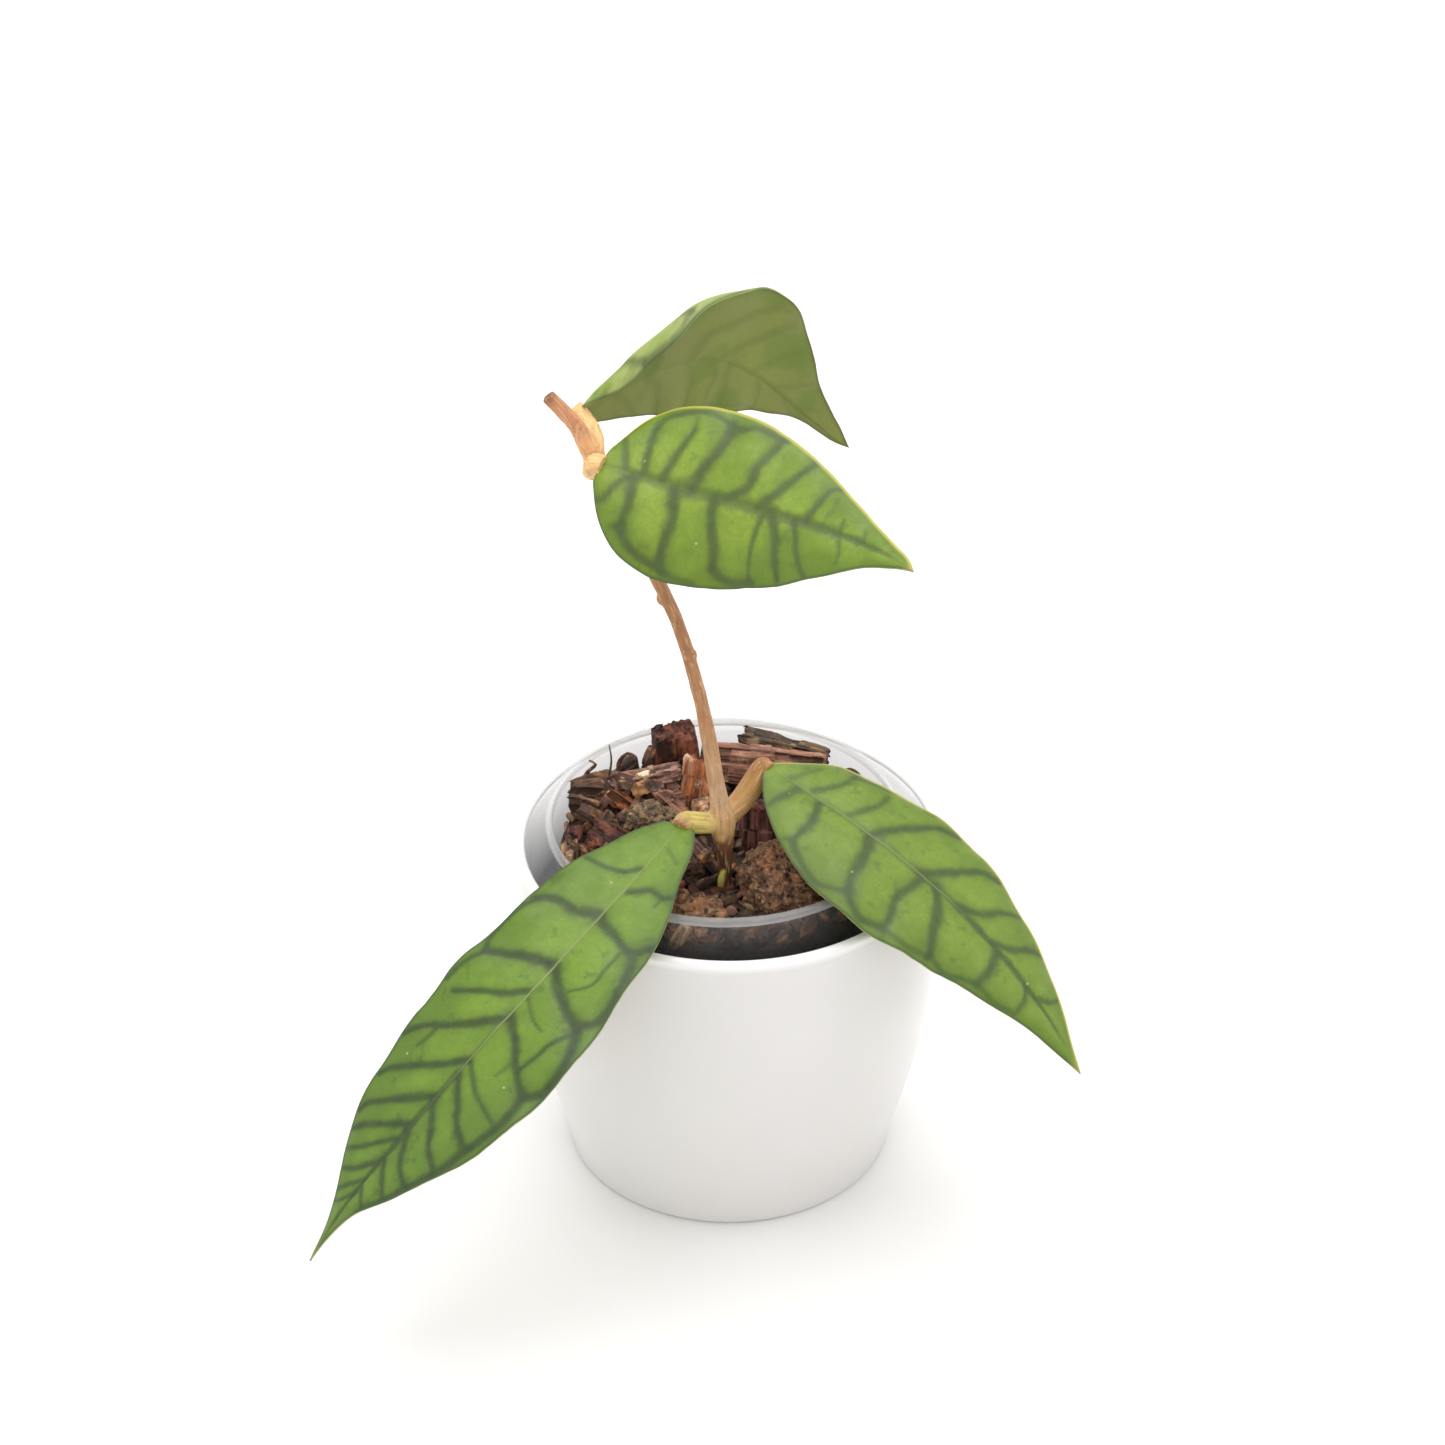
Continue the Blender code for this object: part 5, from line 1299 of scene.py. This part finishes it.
def scattered_chunks():
    """Sizes, turns and places of the plain chunks, drawn apart from the solids' ones."""
    rng = random.Random(CHIP_SEED)
    result = []
    foot = next(row for row in STEM_RUN if row[2] * MM > MIX_TOP)
    for ring_radius, count in CHIP_RINGS:
        for i in range(count):
            angle = 2.0 * math.pi * (i + rng.uniform(-0.3, 0.3)) / count
            radius = ring_radius * MM + rng.uniform(-CHIP_SPREAD, CHIP_SPREAD)
            size = [rng.uniform(*CHIP_LENGTHS), rng.uniform(*CHIP_SECTIONS), rng.uniform(*CHIP_SECTIONS)]
            turns = [rng.uniform(*span) for span in CHIP_TURNS]
            height = MIX_TOP + rng.uniform(*CHIP_HEIGHTS)
            place = Vector((GROW_X + radius * math.cos(angle), radius * math.sin(angle), height))
            near = [(place.xy - Vector(foot[:2]) * MM).length < CLEAR_OF_STEM]
            for _, centre, half, _, _ in LAVA_STONES:
                near.append((place.xy - Vector(centre[:2]) * MM).length < max(half[:2]) * MM)
            for centre, _, _, _ in SHOWN_CHUNKS:
                near.append((place.xy - Vector(centre[:2]) * MM).length < CLEAR_OF_CHUNKS)
            if not any(near):
                result.append((size, turns, place))
    return result


def grow_inner_radius(height):
    """Inner radius of the grow pot's wall at a height."""
    low, high = GROW_HEIGHTS
    share = (height - low) / (high - low)
    return GROW_BASE_RADIUS + (GROW_MOUTH_RADIUS - GROW_BASE_RADIUS) * share - GROW_WALL


def piled_place(rng, reach, spread_up, pile_up):
    """Random place on the mix within a reach of the pot's axis, higher on the heap at the left."""
    angle = rng.uniform(0.0, 2.0 * math.pi)
    radius = reach * math.sqrt(rng.random())
    place = Vector((GROW_X + radius * math.cos(angle), radius * math.sin(angle), MIX_TOP))
    heap = max(0.0, 1.0 - (place.xy - HEAP_CENTRE.xy).length / HEAP_REACH)
    place.z += rng.random() * (spread_up + pile_up * min(1.0, 2.0 * heap)) - 0.8 * MM
    return place


def build_bark_mix(settings):
    """Bed of fine mix, bark chunks that show, plain chunks, shards, crumbs and dead rootlets."""
    bark = bark_material()
    rng = random.Random(CHIP_SEED)
    chunks = ChipHeap(3)
    for centre, size, turns, colour in SHOWN_CHUNKS:
        size = [value * MM for value in size]
        place = Vector(centre) * MM
        chunks.add(size, turns, place, colour, 7, voxel=0.36 * MM, rough=0.75 * MM, spare=(0.46, 0.64))
    chunks.finish("bark_chunks", bark, ("bark_mix",))
    plain = ChipHeap(4)
    for size, turns, place in scattered_chunks():
        plain.add(size, turns, place, rng.choice(FILL_COLOURS[:8]), 8, voxel=0.6 * MM, rough=0.7 * MM)
    plain.scatter(rng, settings.shards, SHARDS, 6, voxel=0.45 * MM, rough=0.75 * MM)
    plain.finish("bark_chips", bark)
    crumbs = ChipHeap(5)
    crumbs.scatter(rng, settings.crumbs, CRUMBS, 5)
    crumbs.finish("bark_crumbs", bark)
    bm = bmesh.new()
    for rows in TWIGS:
        add_tube(bm, smooth_rows(rows))
    finish("twigs", bm, (twig_material(),), ())
    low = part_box("bark_mix")[0][2]
    bevel = low + 1.5 * MM
    bed = [
        (0.0, low), (grow_inner_radius(low) - 1.5 * MM, low),
        (grow_inner_radius(bevel) - MIX_GAP, bevel), (grow_inner_radius(MIX_TOP) - MIX_GAP, MIX_TOP),
        (24.0 * MM, MIX_TOP), (12.0 * MM, MIX_TOP), (0.0, MIX_TOP),
    ]
    bm = turned(bed, 96, GROW_X)
    finish("mix_bed", bm, (crumb_material(settings.crumb_colour),), ())


# Lava stones

def stone_material(finish_name):
    """Porous lava with painted shade in its pores and crevices, rusty patches and pale worn grains."""
    surface, tree, shader = new_material("lava_" + finish_name)
    body, deep, pale, rusty = (linear(*colour) for colour in STONE_COLOURS[finish_name])
    place = place_on_piece(tree)
    lumps = grain(tree, place, 380.0, 5.0, 0.7)
    colour = mix(tree, spread(tree, lumps, 0.38, 0.60), deep, body)
    colour = blotched(tree, colour, rusty, place, (190.0, 4.0, 0.6), 0.50, 0.66, 0.7)
    colour = blotched(tree, colour, pale, place, (1300.0, 3.0, 0.6), 0.54, 0.70, 0.75)
    pores = node(tree, "ShaderNodeTexVoronoi", {"Vector": place, "Scale": 640.0}).outputs["Distance"]
    open_pore = spread(tree, grain(tree, place, 240.0, 2.0), 0.42, 0.60, 0.0, 0.85)
    # Painted shade in the open pores
    hole = maths(tree, "MULTIPLY", spread(tree, pores, 0.14, 0.30, 1.0, 0.0), open_pore)
    colour = mix(tree, hole, colour, linear(30, 22, 18))
    # Painted shade in the pits, cracks and hollows
    colour = mix(tree, maths(tree, "MULTIPLY", attribute(tree, "pit"), 0.80), colour, linear(32, 23, 18))
    high = maths(tree, "SUBTRACT", lumps, maths(tree, "MULTIPLY", hole, 0.5))
    connect(tree, shader, Base_Color=colour, Roughness=0.88, Normal=bump(tree, high, 0.9 * MM, 0.9))
    return surface


def build_stone(name, centre, half, seed, surface):
    """Rounded lump with a broken, cracked and pitted surface."""
    bm = bmesh.new()
    detail = 7 if max(half) > 8.0 else 6
    bmesh.ops.create_icosphere(bm, subdivisions=detail, radius=1.0)
    shift = STONE_SEED_STEP * seed
    painted_pit_shade = []
    for corner in bm.verts:
        direction = corner.co.normalized()
        swell = 1.0
        for fineness, size in STONE_LUMPS:
            swell += size * noise.noise(direction * fineness + shift)
        reach = Vector([direction[k] * half[k] * swell for k in range(3)])
        broad = noise.fractal(reach * STONE_BROAD + shift, 0.9, 2.0, 2)
        rough = noise.fractal(reach * STONE_ROUGH + shift, 0.70, 2.1, 4)
        near, next_near = noise.voronoi(reach * STONE_CRACKS + shift)[0][:2]
        crack = max(0.0, 1.0 - (next_near - near) / 0.12) * max(0.0, min(1.0, 0.5 + 2.0 * broad))
        pit = max(0.0, 1.0 - noise.voronoi(reach * STONE_PITS + shift)[0][0] / 0.34)
        small = max(0.0, 1.0 - noise.voronoi(reach * STONE_PORES + shift)[0][0] / 0.30)
        hollow = max(0.0, min(1.0, -1.6 * broad - 0.25))
        # Painted shade in the pits, pores, cracks and hollows
        painted_pit_shade.append(min(1.0, 1.3 * pit + 0.7 * small + 0.8 * crack + 0.9 * hollow))
        dent = 0.80 * math.sqrt(pit) + 0.30 * small + 0.55 * crack
        reach += direction * (1.0 * broad + 0.42 * rough - dent - 0.1)
        corner.co = (Vector(centre) + reach) * MM
    piece = finish(name + "_surface", bm, (surface,), (name,))
    set_attribute(piece.data, "pit", painted_pit_shade)


# Pots

def painted_back_glow(tree, place, strength):
    """Painted glow that stands in for light through the pots' walls at the back, none at the front."""
    return spread(tree, axis_of(tree, place, "Y"), *PAINTED_GLOW_SPAN, 0.0, strength)


def cover_material(name, colour, glow=0.0):
    """White satin glaze, glossier at the rim and painted whiter there as a highlight; with a glow
    it is the inside, given painted shade and a painted glow.
    """
    surface, tree, shader = new_material(name)
    place = place_on_piece(tree)
    height = axis_of(tree, place, "Z")
    dull = tuple(value * 0.975 for value in colour)
    shade = blotched(tree, colour, dull, place, (28.0,), 0.35, 0.65)
    # Painted highlight: the top of the rim painted whiter
    shade = mix(tree, spread(tree, height, *COVER_RIM_PAINTED_HIGHLIGHT), shade, (0.93, 0.925, 0.91))
    satin = spread(tree, grain(tree, place, 60.0), 0.3, 0.7, 0.30, 0.38)
    gloss = maths(tree, "MULTIPLY_ADD", spread(tree, height, *COVER_RIM_GLOSS), -0.12, satin)
    normal = bump(tree, grain(tree, place, 900.0), 0.03 * MM, 0.25)
    connect(tree, shader, Base_Color=shade, Roughness=gloss, Normal=normal)
    connect(tree, shader, Coat_Weight=0.25, Coat_Roughness=0.12, Specular_IOR_Level=0.5)
    if glow:
        # Painted shade on the inside: near black at the front, and deep down at the left
        front = spread(tree, axis_of(tree, place, "Y"), *SHADE_FRONT, 0.75, 0.0)
        deep = spread(tree, height, *SHADE_DEEP, 0.92, 0.0)
        left = spread(tree, axis_of(tree, place, "X"), *SHADE_LEFT, 1.0, 0.0)
        dark = maths(tree, "MAXIMUM", front, maths(tree, "MULTIPLY", deep, left))
        shade = mix(tree, dark, shade, (0.07, 0.07, 0.075))
        # Painted glow at the back of the inside, none where the painted shade lies
        light = maths(tree, "MULTIPLY", painted_back_glow(tree, place, glow), maths(tree, "SUBTRACT", 1.0, dark))
        connect(tree, shader, Base_Color=shade)
        connect(tree, shader, Emission_Color=(1.0, 1.0, 1.0, 1.0), Emission_Strength=light)
    return surface


def build_cover_pot(settings):
    """White cover pot with a rounded rim."""
    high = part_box("cover_pot")[1]
    bead = COVER_WALL / 2.0
    rim_radius, top = high[0], high[2]
    foot = COVER_FOOT_ROUND
    outside = [(0.0, 0.0)] + arc(COVER_BASE_RADIUS - foot, foot, foot, -90, -15, 6)
    heights, radii = np.array(COVER_BULGE).T * MM
    heights = np.concatenate((heights, [top - bead]))
    radii = np.concatenate((radii, [rim_radius]))
    fine = np.linspace(heights[0], heights[-1], 22)[:-1]
    bulge = list(zip(hermite(heights, radii, fine).tolist(), fine.tolist()))
    rim = arc(rim_radius - bead, top - bead, bead, 0, 180, 12)
    inside = [(radius - COVER_WALL, height) for radius, height in reversed(bulge)]
    corner = COVER_INNER_ROUND
    inside += arc(inside[-1][0] - corner, COVER_FLOOR + corner, corner, 0, -90, 6)
    bm = turned(outside + bulge + rim + inside + [(0.0, COVER_FLOOR)], settings.sides)
    for face in bm.faces:
        centre = face.calc_center_median()
        inwards = centre.xy.dot(face.normal.xy) < 0.0
        face.material_index = int(inwards and COVER_FLOOR < centre.z < top - bead)
    glazes = (
        cover_material("white_glaze", settings.glaze),
        cover_material("white_glaze_inside", settings.inside, settings.glow),
    )
    finish("cover_pot_glazed", bm, glazes, ("cover_pot",))


def grow_material(colour, glow):
    """Milky clear plastic, denser in the lip; painted glow at the back, painted shade on the lip's front.
    """
    surface, tree, shader = new_material("milky_plastic")
    place = place_on_piece(tree)
    height = axis_of(tree, place, "Z")
    lip = spread(tree, height, *GROW_LIP)
    haze = spread(tree, grain(tree, place, 70.0), 0.3, 0.7, 0.05, 0.09)
    solid = maths(tree, "MULTIPLY_ADD", lip, 0.22, haze)
    skirt = maths(tree, "MULTIPLY", lip, spread(tree, height, *GROW_LIP_SKIRT, 0.14, 0.0))
    solid = maths(tree, "ADD", solid, skirt)
    dull = tuple(value * 0.94 for value in colour)
    shade = blotched(tree, colour, dull, place, (40.0, 2.0), 0.3, 0.7)
    # Painted shade: the lip darker at the front than at the back
    painted_front_shade = tuple(value * 0.72 for value in colour)
    lip_shade = mix(tree, painted_back_glow(tree, place, 1.0), painted_front_shade, colour)
    shade = mix(tree, lip, shade, lip_shade)
    connect(tree, shader, Base_Color=shade, Alpha=solid, Roughness=0.18)
    # Painted glow through the back wall, none in the lip
    light = maths(tree, "MULTIPLY", painted_back_glow(tree, place, glow), maths(tree, "SUBTRACT", 1.0, lip))
    connect(tree, shader, Emission_Color=(1.0, 1.0, 1.0, 1.0), Emission_Strength=light)
    connect(tree, shader, Specular_IOR_Level=0.5, IOR=1.49)
    return surface


def build_grow_pot(settings):
    """Clear grow pot with a thin lip; the drain holes are in the solids alone."""
    low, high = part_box("grow_pot")
    stand, top = low[2], high[2]
    lip_radius = (high[0] - low[0]) / 2.0
    lip_foot = top - GROW_LIP_DROP
    floor = stand + GROW_FLOOR
    mouth = grow_inner_radius(top)
    edge, bevel = 0.3 * MM, 0.2 * MM
    profile = [
        (0.0, stand), (GROW_BASE_RADIUS - GROW_FOOT_ROUND, stand),
        (GROW_BASE_RADIUS, stand + GROW_FOOT_ROUND),
        (grow_inner_radius(lip_foot) + GROW_WALL, lip_foot), (lip_radius - bevel, lip_foot),
        (lip_radius, lip_foot + bevel),
    ]
    profile += arc(lip_radius - edge, top - edge, edge, 0, 90, 4)
    profile += arc(mouth + edge, top - edge, edge, 90, 180, 4)
    profile += [
        (grow_inner_radius(floor + GROW_FOOT_ROUND), floor + GROW_FOOT_ROUND),
        (grow_inner_radius(floor) - GROW_FOOT_ROUND, floor), (0.0, floor),
    ]
    bm = turned(profile, settings.sides, GROW_X)
    plastic = grow_material(settings.milk, settings.glow)
    piece = finish("grow_pot_clear", bm, (plastic,), ("grow_pot",))
    piece.data.set_sharp_from_angle(angle=math.radians(40))


# Studio

def add_area_light(name, place, size, power):
    """Soft square white light aimed at the pot."""
    light = bpy.data.lights.new(name, "AREA")
    light.shape = "SQUARE"
    light.size = size
    light.energy = power
    item = bpy.data.objects.new(name, light)
    item.location = place
    item.rotation_euler = (LIGHT_TARGET - Vector(place)).to_track_quat("-Z", "Y").to_euler()
    bpy.context.scene.collection.objects.link(item)


def build_studio(settings):
    """Pale floor, soft lights, even white surroundings and the camera."""
    bm = bmesh.new()
    bmesh.ops.create_grid(bm, x_segments=1, y_segments=1, size=settings.floor_size / 2.0)
    surface, tree, shader = new_material("pale_floor")
    place = place_on_piece(tree)
    dull = tuple(value * 0.99 for value in settings.floor_colour)
    shade = blotched(tree, settings.floor_colour, dull, place, (3.0, 2.0), 0.3, 0.7)
    connect(tree, shader, Base_Color=shade, Roughness=0.6, Specular_IOR_Level=0.3)
    mesh = bpy.data.meshes.new("floor")
    bm.to_mesh(mesh)
    bm.free()
    mesh.materials.append(surface)
    floor = bpy.data.objects.new("floor", mesh)
    bpy.context.scene.collection.objects.link(floor)
    for light in AREA_LIGHTS:
        add_area_light(*light)
    world = bpy.data.worlds.new("white_surroundings")
    world.use_nodes = True
    sky = world.node_tree.nodes["Background"]
    sky.inputs["Color"].default_value = (1.0, 1.0, 1.0, 1.0)
    sky.inputs["Strength"].default_value = settings.sky
    bpy.context.scene.world = world
    bpy.context.scene.view_settings.view_transform = "Standard"
    camera = bpy.data.cameras.new("camera")
    camera.lens = settings.lens
    camera.sensor_width = 36.0
    camera.clip_start = 0.01
    item = bpy.data.objects.new("camera", camera)
    back = Vector((0.0, -math.cos(settings.elevation), math.sin(settings.elevation)))
    item.location = CAMERA_TARGET + back * settings.distance
    item.rotation_euler = (-back).to_track_quat("-Z", "Y").to_euler()
    bpy.context.scene.collection.objects.link(item)
    bpy.context.scene.camera = item


# Operators

class HOYA_OT_cover_pot(bpy.types.Operator):
    """Build the white cover pot"""

    bl_idname = "hoya.cover_pot"
    bl_label = "Cover Pot"

    def execute(self, context):
        build_cover_pot(context.scene.hoya_pots)
        return {"FINISHED"}


class HOYA_OT_grow_pot(bpy.types.Operator):
    """Build the clear grow pot"""

    bl_idname = "hoya.grow_pot"
    bl_label = "Grow Pot"

    def execute(self, context):
        build_grow_pot(context.scene.hoya_pots)
        return {"FINISHED"}


class HOYA_OT_bark_mix(bpy.types.Operator):
    """Fill the grow pot with bark chunks, chips and crumbs"""

    bl_idname = "hoya.bark_mix"
    bl_label = "Bark Mix"

    def execute(self, context):
        build_bark_mix(context.scene.hoya_mix)
        return {"FINISHED"}


class HOYA_OT_lava_stones(bpy.types.Operator):
    """Lay the porous stones in the mix"""

    bl_idname = "hoya.lava_stones"
    bl_label = "Lava Stones"

    def execute(self, context):
        surfaces = {key: stone_material(key) for key in STONE_COLOURS}
        for name, centre, half, seed, key in LAVA_STONES:
            build_stone(name, centre, half, seed, surfaces[key])
        return {"FINISHED"}


class HOYA_OT_stem(bpy.types.Operator):
    """Grow the stem with its petioles"""

    bl_idname = "hoya.stem"
    bl_label = "Stem"

    def execute(self, context):
        build_stem(context.scene.hoya_stem)
        return {"FINISHED"}


class HOYA_OT_leaves(bpy.types.Operator):
    """Build the four veined leaves"""

    bl_idname = "hoya.leaves"
    bl_label = "Leaves"

    def execute(self, context):
        for seed, (name, leaf) in enumerate(LEAVES.items()):
            build_leaf(name, leaf, seed * 3.0 + 1.5, context.scene.hoya_leaves)
        return {"FINISHED"}


class HOYA_OT_studio(bpy.types.Operator):
    """Set up the floor, lights and camera"""

    bl_idname = "hoya.studio"
    bl_label = "Studio"

    def execute(self, context):
        build_studio(context.scene.hoya_studio)
        return {"FINISHED"}


class HOYA_PT_panel(bpy.types.Panel):
    """Settings and buttons of the potted hoya"""

    bl_idname = "HOYA_PT_panel"
    bl_label = "Potted Hoya"
    bl_space_type = "VIEW_3D"
    bl_region_type = "UI"
    bl_category = "Hoya"

    def draw(self, context):
        for group, settings_class in GROUPS.items():
            column = self.layout.column(align=True)
            for key in settings_class.__annotations__:
                column.prop(getattr(context.scene, group), key)
        for operator in OPERATORS:
            self.layout.operator(operator.bl_idname)


GROUPS = {
    "hoya_pots": HoyaPotSettings,
    "hoya_mix": HoyaMixSettings,
    "hoya_stem": HoyaStemSettings,
    "hoya_leaves": HoyaLeafSettings,
    "hoya_studio": HoyaStudioSettings,
}
OPERATORS = (
    HOYA_OT_studio, HOYA_OT_cover_pot, HOYA_OT_grow_pot, HOYA_OT_bark_mix,
    HOYA_OT_lava_stones, HOYA_OT_stem, HOYA_OT_leaves,
)


def register():
    """Register the settings, operators and panel."""
    for group, settings_class in GROUPS.items():
        bpy.utils.register_class(settings_class)
        setattr(bpy.types.Scene, group, PointerProperty(type=settings_class))
    for operator in OPERATORS:
        bpy.utils.register_class(operator)
    bpy.utils.register_class(HOYA_PT_panel)


def unregister():
    """Take the panel, operators and settings away again."""
    bpy.utils.unregister_class(HOYA_PT_panel)
    for operator in reversed(OPERATORS):
        bpy.utils.unregister_class(operator)
    for group, settings_class in GROUPS.items():
        delattr(bpy.types.Scene, group)
        bpy.utils.unregister_class(settings_class)


def main():
    """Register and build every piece."""
    register()
    bpy.ops.hoya.studio()
    bpy.ops.hoya.cover_pot()
    bpy.ops.hoya.grow_pot()
    bpy.ops.hoya.bark_mix()
    bpy.ops.hoya.lava_stones()
    bpy.ops.hoya.stem()
    bpy.ops.hoya.leaves()


if __name__ == "__main__":
    main()
